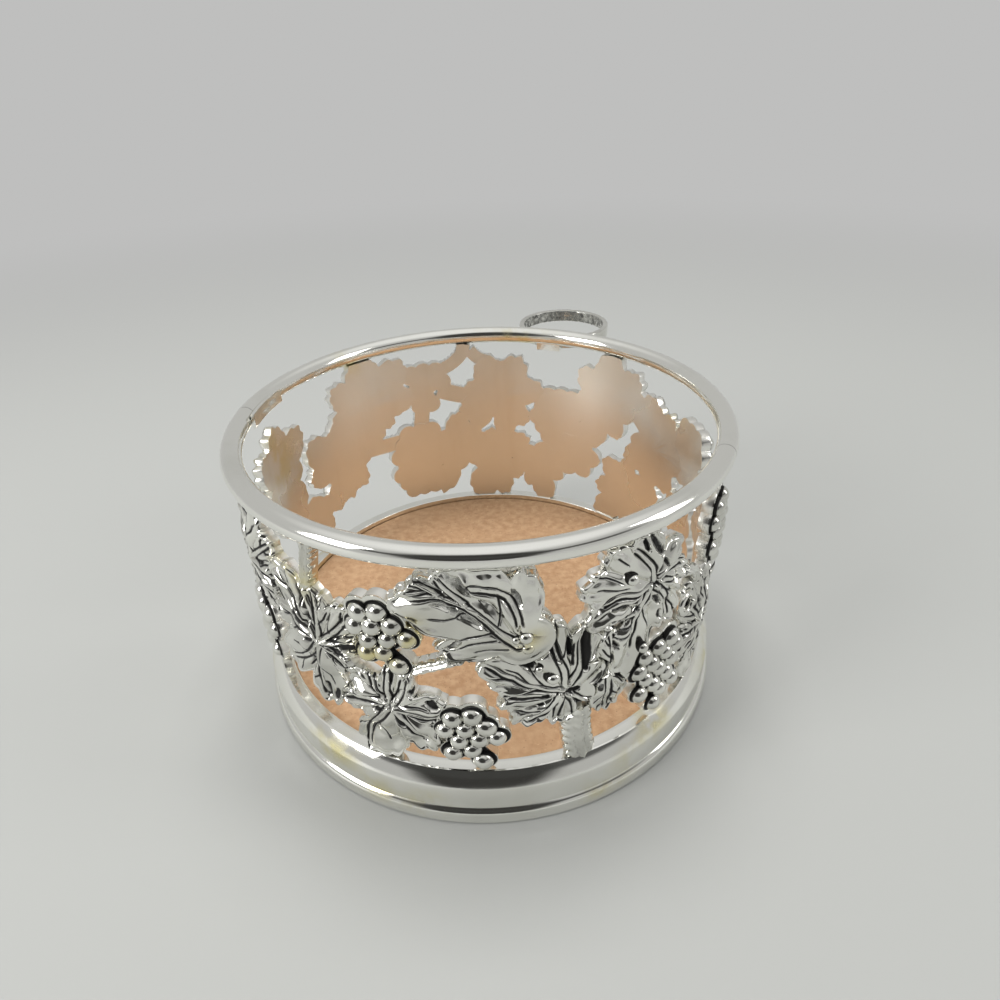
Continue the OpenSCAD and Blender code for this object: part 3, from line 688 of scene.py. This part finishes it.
def make_stopper_ring():
    out_r = STOPPER_BORE_R + STOPPER_WALL
    mid_r = RIM_R + STOPPER_GAP + out_r
    a = math.radians(STOPPER_A)
    profile = soft_box(STOPPER_BORE_R, out_r, -STOPPER_H / 2, STOPPER_H / 2, STOPPER_SOFT, 6)
    middle = (mid_r * math.cos(a), mid_r * math.sin(a), RIM_MID_Z - STOPPER_DROP)
    points, faces = revolve(profile, 128, middle=middle)
    away = np.hypot(*(np.array(points)[:, :2] - middle[:2]).T) - STOPPER_BORE_R
    make_piece("stopper_band", points, faces, ["antique_silver"], ["stopper_ring"],
               hollow=0.42 * (1 - smooth(away / STOPPER_SOFT)))
    dress("ring_lug", "polished_silver")


# Gallery: every motif is laid out in millimetres along and up the wall from its stalk, as seen from
# outside, with its height above the wall's inner face, and then bent round the wall

LEAF_CROWN = 3.7
LEAF_EDGE = 2.3
LEAF_FALL_R = 34.0
CORE_SHARE = 0.12
TOOTH_SHARE = 0.03
TOOTH_A = 12.0
# Motifs further round the wall than this don't touch
NEAR_A = 50
# Height of a motif's face where another one lies over it
SUNK = 0.9
# How far motifs pass into the rim and into the ledge
INTO_RIM = 0.03
INTO_LEDGE = 0.05
# Farther than anything on the wall
FAR_OFF = 1e3
LEVEL = 1e-3


def bend(u, v, h, azimuth, height):
    """Points on the bent wall from flat places."""
    a = math.radians(azimuth) + np.asarray(u) / WALL_R
    r = WALL_R + np.asarray(h)
    return np.column_stack([r * np.cos(a), r * np.sin(a), np.asarray(v) + height])


def stalk_z(motif):
    """Height of a motif's stalk above the table."""
    return LEDGE_Z + motif[1] * GALLERY_H


def within_gallery(far, rise, v0):
    """Distances from a place above the ledge, cut short where they would pass the rim or the ledge."""
    up = np.where(rise > LEVEL, (GALLERY_H + INTO_RIM - v0) / np.maximum(rise, LEVEL), FAR_OFF)
    down = np.where(rise < -LEVEL, (v0 + INTO_LEDGE) / np.maximum(-rise, LEVEL), FAR_OFF)
    return np.minimum(far, np.minimum(up, down))


def lobe(x):
    """Reach of a lobe across its width: a sharp tip on a round body."""
    x = np.abs(x)
    return np.where(x >= 1, 0.0, 1 - 0.12 * x ** 0.8 - 0.32 * x * x)


def reach(leaf, angles, toothed=True):
    """How far a leaf's edge lies from its stalk in each direction, in millimetres."""
    far = np.full(angles.shape, CORE_SHARE)
    for direction, length, half in leaf[2]:
        far = np.maximum(far, length * lobe(turn(angles - direction) / half))
    if toothed:
        phase = np.abs(((angles / TOOTH_A + leaf[1] * 7) % 1.0) - 0.5) * 2
        far = far * (1 + TOOTH_SHARE * (1 - 2 * phase ** 1.3) * smooth((far - 0.14) / 0.08))
    return within_gallery(far * GALLERY_H, np.sin(np.radians(angles)), leaf[1] * GALLERY_H)


def flat_place(motif, u, v, other):
    """Places of another motif's points, as seen from this motif's stalk."""
    return np.radians(turn(other[0] - motif[0])) * WALL_R + u, v + (other[1] - motif[1]) * GALLERY_H


def inside_leaf(leaf, u, v):
    """How deep places lie inside a leaf's edge, in millimetres, negative outside."""
    return reach(leaf, np.degrees(np.arctan2(v, u)), False) - np.hypot(u, v)


def grape_places(bunch):
    """Flat places of a bunch's grapes, from the middle of its top row."""
    lean, counts = bunch[2:]
    c, s = math.cos(math.radians(lean)), math.sin(math.radians(lean))
    places = []
    for row, count in enumerate(counts):
        step = abs((counts[0] + row - count) % 2) / 2 * (1 if row % 2 == 0 else -1)
        for j in range(count):
            along = (j - (count - 1) / 2 + step) * GRAPE_PITCH
            down = row * GRAPE_PITCH * math.sin(math.radians(60))
            places.append((along * c + down * s, along * s - down * c))
    return places


def inside_bunch(bunch, u, v):
    """How deep places lie inside a bunch's plate, in millimetres, negative outside."""
    deep = np.full(np.shape(u), -FAR_OFF)
    for gu, gv in grape_places(bunch):
        deep = np.maximum(deep, GRAPE_R + 0.5 - np.hypot(u - gu, v - gv))
    return deep


def cover(motif, leaves, bunches, u, v):
    """How far each place of a motif lies inside the nearest of some other motifs."""
    deep = np.full(np.shape(u), -FAR_OFF)
    for others, inside in ((bunches, inside_bunch), (leaves, inside_leaf)):
        for other in others:
            if other is not motif and abs(turn(other[0] - motif[0])) < NEAR_A:
                deep = np.maximum(deep, inside(other, *flat_place(other, u, v, motif)))
    return deep


def sink(deep):
    """1 where another motif lies over this one, and smoothly to 0 beside it."""
    return smooth((deep + 0.1) / 0.7)


def curve_point(path, t):
    """A point of the smooth path through some points, t from 0 to 1."""
    n = len(path) - 1
    i = min(int(t * n), n - 1)
    s = t * n - i
    a, b, c, d = (np.array(path[k], float) for k in (max(i - 1, 0), i, i + 1, min(i + 2, n)))
    square, cube = 2 * a - 5 * b + 4 * c - d, 3 * b - a - 3 * c + d
    return 0.5 * (2 * b + (c - a) * s + square * s * s + cube * s ** 3)


def line_distance(u, v, line):
    """Distance to a bent line, and the share of the way along it."""
    best, along = np.full(u.shape, FAR_OFF), np.zeros(u.shape)
    for k, (a, b) in enumerate(zip(line[:-1], line[1:])):
        ab = b - a
        t = np.clip(((u - a[0]) * ab[0] + (v - a[1]) * ab[1]) / (ab @ ab), 0.0, 1.0)
        d = np.hypot(u - a[0] - t * ab[0], v - a[1] - t * ab[1])
        along = np.where(d < best, (k + t) / (len(line) - 1), along)
        best = np.minimum(best, d)
    return best, along


def on_leaf(leaf, path):
    """A smooth line through places given by azimuth and height, as flat places from the stalk."""
    flat = [(math.radians(a - leaf[0]) * WALL_R, z - stalk_z(leaf)) for a, z in path]
    return [curve_point(flat, k / 10) for k in range(11)]


def towards(degrees):
    """A step of one millimetre in a direction on the flat wall."""
    return np.array([math.cos(math.radians(degrees)), math.sin(math.radians(degrees))])


def own_ribs(leaf, rng):
    """A slightly bent line along each lobe."""
    lines = []
    for direction, length, _ in leaf[2]:
        tip = towards(direction) * length * GALLERY_H * 0.93
        side = np.array([-tip[1], tip[0]]) * rng.uniform(-0.10, 0.10)
        lines.append([curve_point([(0.0, 0.0), tip * 0.5 + side, tip], k / 8) for k in range(9)])
    return lines


def own_cuts(leaf, ribs, rng):
    """Engraved side veins that branch off the ribs, curving towards the tip."""
    lines = []
    for (direction, length, half), rib in zip(leaf[2], ribs):
        size = length * GALLERY_H
        for k, along in enumerate((0.38, 0.62)):
            for side in (-1, 1):
                start = curve_point(rib, along)
                run = size * (0.40 - 0.09 * k) * min(half / 34, 1.1)
                first_a = direction + side * (44 - 7 * k + rng.uniform(-5, 5))
                middle = start + towards(first_a) * run * 0.55
                end = middle + towards(direction + side * (26 - 5 * k)) * run * 0.5
                lines.append([start, middle, end])
    return lines


def pits_of(index):
    """The dark hollows of one leaf as pairs of flat places with a half width."""
    found = []
    for number, *ends, half in PITS:
        if number == index:
            line = on_leaf(LEAVES[index], ends)
            found.append(([line[0], line[-1]], half))
    return found


def gaps_between(leaf):
    """Directions midway between neighbouring lobes, with how far out their hollows run."""
    lobes = sorted(leaf[2])
    found = []
    for one, two in zip(lobes, lobes[1:] + [(lobes[0][0] + 360, lobes[0][1], lobes[0][2])]):
        if two[0] - one[0] < 90:
            found.append(((one[0] + two[0]) / 2, min(one[1], two[1]) * GALLERY_H * 0.62))
    return found


# Relief of a leaf's face in millimetres: widths of ribs and grooves, what stands up and what goes down
RIB_HALF, GROOVE_HALF = 0.36, 0.27
RIB_H, CUSHION_H, WAVE_H, PLEAT_H = 0.55, 1.0, 0.10, 0.16
FACE_DEEP, GROOVE_DEEP, DIP_DEEP, PIT_DEEP = 0.55, 0.30, 0.5, 0.7
# Raised lip along the edge: how far in and how wide, then its height where it isn't the usual one
LIP_IN, LIP_HALF, LIP_H = 0.75, 0.45, 0.42
LIPS = {0: 0.75, 2: 0.5}
# How much the edge falls away and over what width, where it isn't the usual small round
FALL = (0.35, 0.35)
FALLS = {0: (1.2, 1.4), 2: (0.7, 0.8)}
KNOB_H, KNOB_R = 0.3, 1.0
FACE_TOP = 4.35
# How black a leaf's hollows are, tarnish and painted dark reflection together, where they aren't black
PIT_DARK = {0: 0.44, 1: 0.6, 3: 0.7, 4: 0.7}


def vein_fields(u, v, ribs):
    """Distances to the nearest vein and to the next one, then the ribs and the grooves beside them."""
    near, second = np.full(u.shape, FAR_OFF), np.full(u.shape, FAR_OFF)
    rib, groove = np.zeros(u.shape), np.zeros(u.shape)
    for line in ribs:
        d, t = line_distance(u, v, line)
        second = np.minimum(second, np.maximum(d, near))
        near = np.minimum(near, d)
        w = RIB_HALF * (1.15 - 0.45 * t)
        fade = smooth((1 - t) * 7)
        rib = np.maximum(rib, np.exp(-(d / w) ** 2) * fade * (1 - 0.3 * t))
        groove = np.maximum(groove, np.exp(-((d - 1.9 * w) / GROOVE_HALF) ** 2) * fade)
    return near, second, rib, groove


def leaf_relief(index, u, v, angles, edge):
    """Height of a leaf's face above the wall, and how blackened it is."""
    leaf = LEAVES[index]
    rng = np.random.default_rng(40 + index)
    r = np.hypot(u, v)
    depth = edge - r
    drawn = index in RIBS
    if drawn:
        ribs, cuts = ([on_leaf(leaf, path) for path in table[index]] for table in (RIBS, CUTS))
    else:
        ribs = own_ribs(leaf, rng)
        cuts = own_cuts(leaf, ribs, rng)
    near, second, rib, groove = vein_fields(u, v, ribs)
    fold = near / np.maximum(near + second, 1e-6)
    room = np.minimum(near + second, 9.0)
    cushion = np.sin(2 * np.pi * fold) * smooth(room / 5.5) * (0.4 + 0.6 * smooth(depth / 3.0))
    height = np.maximum(LEAF_CROWN - r * r / (2 * LEAF_FALL_R), LEAF_EDGE) - FACE_DEEP + CUSHION_H * cushion
    for _ in range(3):
        way, phase, step = rng.uniform(0, math.pi), rng.uniform(0, 2 * math.pi), rng.uniform(4.0, 7.5)
        wave = np.sin((u * math.cos(way) + v * math.sin(way)) * 2 * math.pi / step + phase)
        height = height + WAVE_H * wave * smooth(r / 3.0)
    height = height + LIPS.get(index, LIP_H) * np.exp(-((depth - LIP_IN) / LIP_HALF) ** 2) * smooth(r / 5.0)
    pleat = np.cos(2 * np.pi * ((angles / TOOTH_A + leaf[1] * 7) % 1.0 - 0.5))
    height = height + PLEAT_H * pleat * smooth((r / edge - 0.5) / 0.4) * smooth((edge - 7.5) / 4.0)
    hollow = np.zeros(u.shape)
    for direction, run in [] if drawn else gaps_between(leaf):
        across = np.radians(turn(angles - direction)) / (0.10 + 0.05 * rng.uniform(0, 1))
        dip = np.exp(-across ** 2) * smooth((r - 2.0) / 1.5) * smooth((run - r) / 2.0) * rng.uniform(0.3, 1.0)
        height = height - DIP_DEEP * dip
        hollow = np.maximum(hollow, dip * 0.85)
    for line, half in pits_of(index):
        d, t = line_distance(u, v, line)
        dip = smooth(1.35 - d / (half * (0.6 + 0.4 * np.sin(math.pi * t))))
        height = height - PIT_DEEP * dip
        # The pits are blackened partly as tarnish and partly as painted dark reflection
        hollow = np.maximum(hollow, dip * PIT_DARK.get(index, 1.0))
    cut = np.zeros(u.shape)
    for line in cuts:
        d, t = line_distance(u, v, line)
        cut = np.maximum(cut, np.exp(-(d / (GROOVE_HALF * (1.1 - 0.4 * t))) ** 2) * smooth((1 - t) * 4))
    groove = np.maximum(groove * (0.6 + 0.4 * smooth((r - 0.8) / 1.6)), cut * 0.9) * (1 - rib)
    height = height + RIB_H * rib - GROOVE_DEEP * groove + KNOB_H * np.exp(-(r / KNOB_R) ** 2)
    hollow = np.maximum(hollow * (1 - rib), groove * 0.9)
    drop, wide = FALLS.get(index, FALL)
    height = height - drop * smooth(1 - depth / wide)
    return np.clip(height, SUNK, FACE_TOP), np.clip(hollow, 0.0, 1.0)


# Motifs as closed shells of rings of points

# How far a motif's back stands off the wall's inner face: the first one, the step to the next one and
# the number of steps, so that the backs of neighbours don't lie in one face
LEAF_BACK = (0.0, 0.006, 7)
BUNCH_BACK = (0.045, 0.006, 5)
STEM_BACK = (0.17, 0.012, 5)
FINE_LEAVES = 5
FINE_RAYS, FINE_RINGS = 600, 90
RAYS, RINGS = 380, 44


def back_h(back, index):
    """Height of one motif's back."""
    first, step, count = back
    return first + step * (index % count)


def leaf_rays(leaf, rays):
    """Directions from the stalk, closer together along the lobes' veins."""
    fine = np.arange(0, 360, 0.25)
    weight = np.ones(fine.shape)
    for direction, _, _ in leaf[2]:
        weight += 1.6 * np.exp(-(turn(fine - direction) / 7.0) ** 2)
    total = np.concatenate([[0.0], np.cumsum(weight)])
    return np.interp(np.arange(rays) / rays * total[-1], total, np.append(fine, 360.0))


def leaf_ring(index, u, v, angles, edge):
    """Places, heights and blackness on a leaf's face, sunk where another motif lies over it and darkened
    there as painted shade.
    """
    height, hollow = leaf_relief(index, u, v, angles, edge)
    under = sink(cover(LEAVES[index], LEAVES[:index], BUNCHES, u, v))
    # Painted shade: the face is darkened under another motif and just beside its edge
    return u, v, height * (1 - under) + SUNK * under, np.maximum(hollow, under * 0.9)


def shell(first, rings, last, top):
    """Lists of u, v, height and blackness of a motif made of rings of points between two end points,
    its faces, and those of its edge and back, which lie past the top rings."""
    lists = [[a, *np.concatenate(rows), b] for a, rows, b in zip(first, zip(*rings), last)]
    rays = len(rings[0][0])
    faces = shell_faces(len(rings), rays)
    return lists, faces, range(top * rays, len(faces))


def cast(kind, node, index, motif, lists, faces, inner):
    """Bends a finished motif round the wall and adds it as a piece."""
    points = bend(*lists[:3], motif[0], stalk_z(motif))
    obj = make_piece(f"{kind}_cast_{index + 1}", points, faces, ["antique_silver", "satin_silver"],
                     [f"{node}_{index + 1}"], inner, np.clip(lists[3], 0, 1),
                     stain_of(points))
    sharpen(obj, 60)


def make_leaf(index):
    """A leaf as rings of points from the stalk to its toothed edge, down the edge and back inside."""
    leaf = LEAVES[index]
    rays, top = (FINE_RAYS, FINE_RINGS) if index < FINE_LEAVES else (RAYS, RINGS)
    angles = leaf_rays(leaf, rays)
    edge = reach(leaf, angles)
    c, s = np.cos(np.radians(angles)), np.sin(np.radians(angles))
    step = back_h(LEAF_BACK, index)
    rings = []
    for k in range(1, top + 1):
        t = 0.7 * k / top + 0.3 * math.sin(math.pi / 2 * k / top)
        rings.append(leaf_ring(index, edge * t * c, edge * t * s, angles, edge))
    u, v = rings[-1][:2]
    rings += [(u * t, v * t, np.full(rays, step), np.zeros(rays)) for t in (1.0, 0.7, 0.4)]
    zero = np.zeros(1)
    crown_h = leaf_ring(index, zero, zero, zero, np.full(1, 5.0))[2][0]
    lists, faces, inner = shell((0.0, 0.0, crown_h, 0.0), rings, (0.0, 0.0, step, 0.0), top)
    rng = np.random.default_rng(70 + index)
    for number, azimuth, z, radius in BUDS:
        if number == index:
            place = on_leaf(leaf, [(azimuth, z), (azimuth, z)])[0]
            add_ball(lists, faces, *place, LEAF_CROWN - 0.4, radius, rng)
    cast("leaf", "vine_leaf", index, leaf, lists, faces, inner)


PLATE_T = 2.4
PLATE_LEDGE = 0.55
PLATE_HOOD = 0.9
PLATE_DISH = 0.6
PLATE_RINGS = (0.3, 0.5, 0.6, 0.7, 0.76, 0.82, 0.87, 0.91, 0.95)


def grid(row_angles, size):
    """Angles of a grid of points: that of each row, and those round it."""
    return np.meshgrid(row_angles, np.arange(size) * 2 * math.pi / size, indexing="ij")


def add_rows(lists, faces, values, joined=False):
    """Adds rows of points to a motif's lists of u, v, height and blackness, and their faces."""
    faces += row_faces(*values[0].shape, len(lists[0]), joined)
    for old, new in zip(lists, values):
        old += list(new.ravel())


def add_ball(lists, faces, u, v, h, radius, rng):
    """Adds a ball that is a little irregular."""
    long, lean = rng.uniform(0.97, 1.12), rng.uniform(0, math.pi)
    c, s = math.cos(lean), math.sin(lean)
    rings, sides = 14, 22
    down, a = grid(np.arange(rings + 1) * math.pi / rings, sides)
    x, y = radius * np.sin(down) * np.cos(a) * long, radius * np.sin(down) * np.sin(a)
    height = np.maximum(h + radius * np.cos(down), SUNK / 2)
    # Painted shade: the ball darkens on its lower half, towards the plate and the gaps between grapes
    lower_shade = smooth((h + radius * 0.52 - height) / (radius * 0.36))
    add_rows(lists, faces, (u + x * c - y * s, v + x * s + y * c, height, lower_shade))


def make_bunch(index):
    """A scalloped plate with its grapes."""
    bunch = BUNCHES[index]
    rng = np.random.default_rng(100 + index)
    places = np.array(grape_places(bunch))
    middle = places.mean(axis=0)
    rays = 240
    angles = np.arange(rays) * 2 * math.pi / rays
    c, s = np.cos(angles), np.sin(angles)
    rel = places - middle
    along = c[:, None] * rel[:, 0] + s[:, None] * rel[:, 1]
    across = -s[:, None] * rel[:, 0] + c[:, None] * rel[:, 1]
    radius = GRAPE_R + PLATE_LEDGE
    half_chord = np.sqrt(np.maximum(radius ** 2 - across ** 2, 0))
    far = np.where(np.abs(across) < radius, along + half_chord, 0).max(1)
    far = within_gallery(far + PLATE_HOOD * np.maximum(s, 0.0) ** 2, s, bunch[1] * GALLERY_H + middle[1])
    step = back_h(BUNCH_BACK, index)
    levels = [(share, PLATE_T - PLATE_DISH * (1 - smooth((share - 0.7) / 0.22))) for share in PLATE_RINGS]
    levels += [(0.985, PLATE_T), (1.0, PLATE_T - 0.25)]
    top = len(levels)
    rings = []
    for share, h in levels + [(1.0, step), (0.6, step), (0.3, step)]:
        u, v = middle[0] + far * share * c, middle[1] + far * share * s
        gap = np.hypot(u[:, None] - places[:, 0], v[:, None] - places[:, 1]).min(1) - GRAPE_R
        # Painted shade: the plate's face darkens towards the grapes, and its middle point is black
        rings.append((u, v, np.full(rays, h), (1 - smooth((gap - 0.05) / 0.45)) * (h > 1.0)))
    lists, faces, inner = shell((*middle, PLATE_T - PLATE_DISH, 1.0), rings, (*middle, step, 0.0), top)
    for gu, gv in places:
        size = GRAPE_R * rng.uniform(0.86, 0.96)
        gu += rng.uniform(-0.25, 0.25)
        gv += rng.uniform(-0.2, 0.2)
        z = stalk_z(bunch) + gv
        gv += max(0.0, LEDGE_Z + size - z) - max(0.0, z + size - GALLERY_TOP_Z)
        add_ball(lists, faces, gu, gv, 0.1 + GRAPE_R + rng.uniform(-0.25, 0.1), size, rng)
    cast("bunch", "grape_bunch", index, bunch, lists, faces, inner)


STEM_RELIEF = 3.2
STEM_EDGE = 1.4
STEM_BACK_SHARES = (1.0, 0.5, 0.0, -0.5, -1.0)
BARK = 0.30
CURL_H = 2.3
CURL_RISE = 0.6


def add_curl(lists, faces, u, v, radius, half):
    """Adds a round curl of tendril."""
    steps, sides = 48, 12
    a, b = grid(np.arange(steps) * 2 * math.pi / steps, sides)
    out = radius + half * np.cos(b)
    height = CURL_H + CURL_RISE * a / (2 * math.pi) + half * np.sin(b)
    add_rows(lists, faces, (u + out * np.cos(a), v + out * np.sin(a), height, np.zeros(a.shape)), True)


def make_stem(index):
    """A stem with bark lines along it."""
    path, width = STEMS[index]
    half = width * GALLERY_H / 2
    motif = ((path[0][0] + path[-1][0]) / 2, 0.0)
    steps, sides = 60, 18
    flat = np.array([curve_point(path, k / steps) for k in range(steps + 1)])
    line = np.column_stack([np.radians(flat[:, 0] - motif[0]) * WALL_R, flat[:, 1] * GALLERY_H])
    line[:, 1] = np.clip(line[:, 1], -INTO_LEDGE, GALLERY_H + INTO_RIM)
    way = np.gradient(line, axis=0)
    way /= np.maximum(np.hypot(way[:, 0], way[:, 1]), 1e-9)[:, None]
    side = np.column_stack([-way[:, 1], way[:, 0]])
    rows = []
    for k in range(steps + 1):
        swell = 1 + 0.10 * math.sin(k * 0.9 + index)
        for i in range(sides):
            x = -1 + 2 * i / (sides - 1)
            bark = BARK * math.cos(x * 9 + 0.25 * math.sin(k * 0.35))
            h = STEM_EDGE + (STEM_RELIEF - STEM_EDGE) * math.sqrt(max(0.0, 1 - x * x)) + bark * (1 - abs(x))
            dark = max(0.0, -bark / BARK) * 0.45 * (1 - abs(x))
            rows.append((*(line[k] + side[k] * half * x * swell), h, dark))
        for x in STEM_BACK_SHARES:
            rows.append((*(line[k] + side[k] * half * x), back_h(STEM_BACK, index), 0.0))
    us, vs, hs, dark = np.array(rows).T
    under = sink(cover(motif, LEAVES, BUNCHES, us, vs)) * (hs > 0.5)
    hs = hs * (1 - under) + SUNK * under
    vs = np.clip(vs, -INTO_LEDGE, GALLERY_H + INTO_RIM)
    size = sides + len(STEM_BACK_SHARES)
    faces = row_faces(steps + 1, size, capped=True)
    inner = [f for f in range(steps * size) if f % size >= sides]
    lists = [list(values) for values in (us, vs, hs, dark)]
    if index == CURL[0]:
        add_curl(lists, faces, math.radians(CURL[1] - motif[0]) * WALL_R, CURL[2] - LEDGE_Z, *CURL[3:])
    cast("stem", "vine_stem", index, motif, lists, faces, inner)


# Stage and light


BACKDROP = (0.52, 0.52, 0.515)
FLOOR_HALF = 12.0
# How far from the middle the floor begins and ends to take the background's colour
FADE_NEAR, FADE_FAR = 0.18, 0.75
# Towards the viewer, where the room is dark
VIEWER = (-0.08, -0.922, 0.379)


def make_stage():
    """Plain pale floor under the coaster. Far off it takes the colour of the background."""
    mesh = bpy.data.meshes.new("floor")
    corners = [(x * FLOOR_HALF, y * FLOOR_HALF, 0) for x, y in ((-1, -1), (1, -1), (1, 1), (-1, 1))]
    mesh.from_pydata(corners, [], [(0, 1, 2, 3)])
    n = Surface("floor_pale")
    n.finish((0.455, 0.458, 0.435), 0.6, metallic=0.0, specular=0.3)
    place = n.add("ShaderNodeTexCoord", "Object")
    seen, _ = n.seen_directly()
    factor = n.math("MULTIPLY", seen, n.ramp(n.vector("LENGTH", place), FADE_NEAR, FADE_FAR))
    far = n.add("ShaderNodeEmission", 0, {"Color": BACKDROP})
    n.put(n.blend(factor, n.bsdf.outputs["BSDF"], far), n.out)
    mesh.materials.append(n.mat)
    floor = bpy.data.objects.new("floor", mesh)
    bpy.context.scene.collection.objects.link(floor)


def area_light(name, place, aim, size, power, color=(1.0, 1.0, 1.0)):
    data = bpy.data.lights.new(name, "AREA")
    data.shape = "RECTANGLE"
    data.size, data.size_y = size
    data.energy = power
    data.color = color
    lamp = bpy.data.objects.new(name, data)
    lamp.location = place
    lamp.rotation_mode = "QUATERNION"
    lamp.rotation_quaternion = (Vector(aim) - Vector(place)).to_track_quat("-Z", "Y")
    bpy.context.scene.collection.objects.link(lamp)
    return lamp


def make_world():
    """Soft even light. The metal sees a pale room that is darker on the viewer's side, and darkest
    where the viewer stands; the camera sees a plain pale background."""
    world = bpy.data.worlds.new("room")
    bpy.context.scene.world = world
    world.use_nodes = True
    n = Nodes(world.node_tree)
    way = n.add("ShaderNodeTexCoord", "Generated")
    back, up = (n.add("ShaderNodeSeparateXYZ", axis, {"Vector": way}) for axis in "YZ")
    room = n.mix(n.ramp(back, -0.7, 0.2), (0.44, 0.44, 0.43), (0.50, 0.50, 0.49))
    room = n.mix(n.ramp(up, 0.60, 0.97), room, (0.80, 0.80, 0.79))
    room = n.mix(n.ramp(n.vector("DOT_PRODUCT", way, VIEWER), 0.81, 0.93), room, (0.040, 0.039, 0.037))
    strip = n.math("MULTIPLY", n.ramp(up, 0.26, 0.36), n.ramp(up, 0.56, 0.46))
    strip = n.math("MULTIPLY", strip, n.ramp(back, -0.20, -0.55, 0.0, 0.9))
    room = n.mix(strip, room, (0.05, 0.05, 0.048))
    colors = (((0.96, 0.98, 1.0), 0.50), (room, 1.0), (BACKDROP, 1.0))
    diffuse, glossy, behind = (n.add("ShaderNodeBackground", 0, {"Color": color, "Strength": strength})
                               for color, strength in colors)
    seen, camera = n.seen_directly()
    out = n.tree.nodes.new("ShaderNodeOutputWorld").inputs["Surface"]
    n.put(n.blend(camera, n.blend(seen, diffuse, glossy), behind), out)


def make_lights():
    """A window at the left, and soft lamps behind and at the right."""
    make_world()
    area_light("window_left", (-0.62, -0.34, 0.38), (0, 0, 0.04), (0.30, 0.40), 2.9)
    overhead = area_light("overhead", (0.0, 0.16, 0.95), (0, 0, 0.01), (0.5, 0.36), 5.4)
    overhead.visible_glossy = False
    area_light("fill_right", (0.62, -0.10, 0.40), (0, 0, 0.03), (0.20, 0.40), 0.8)


make_base()
make_floor_discs()
make_rim()
make_stopper_ring()
for number in range(len(LEAVES)):
    make_leaf(number)
for number in range(len(BUNCHES)):
    make_bunch(number)
for number in range(len(STEMS)):
    make_stem(number)
make_stage()
make_lights()
bpy.context.scene.view_settings.view_transform = "Standard"
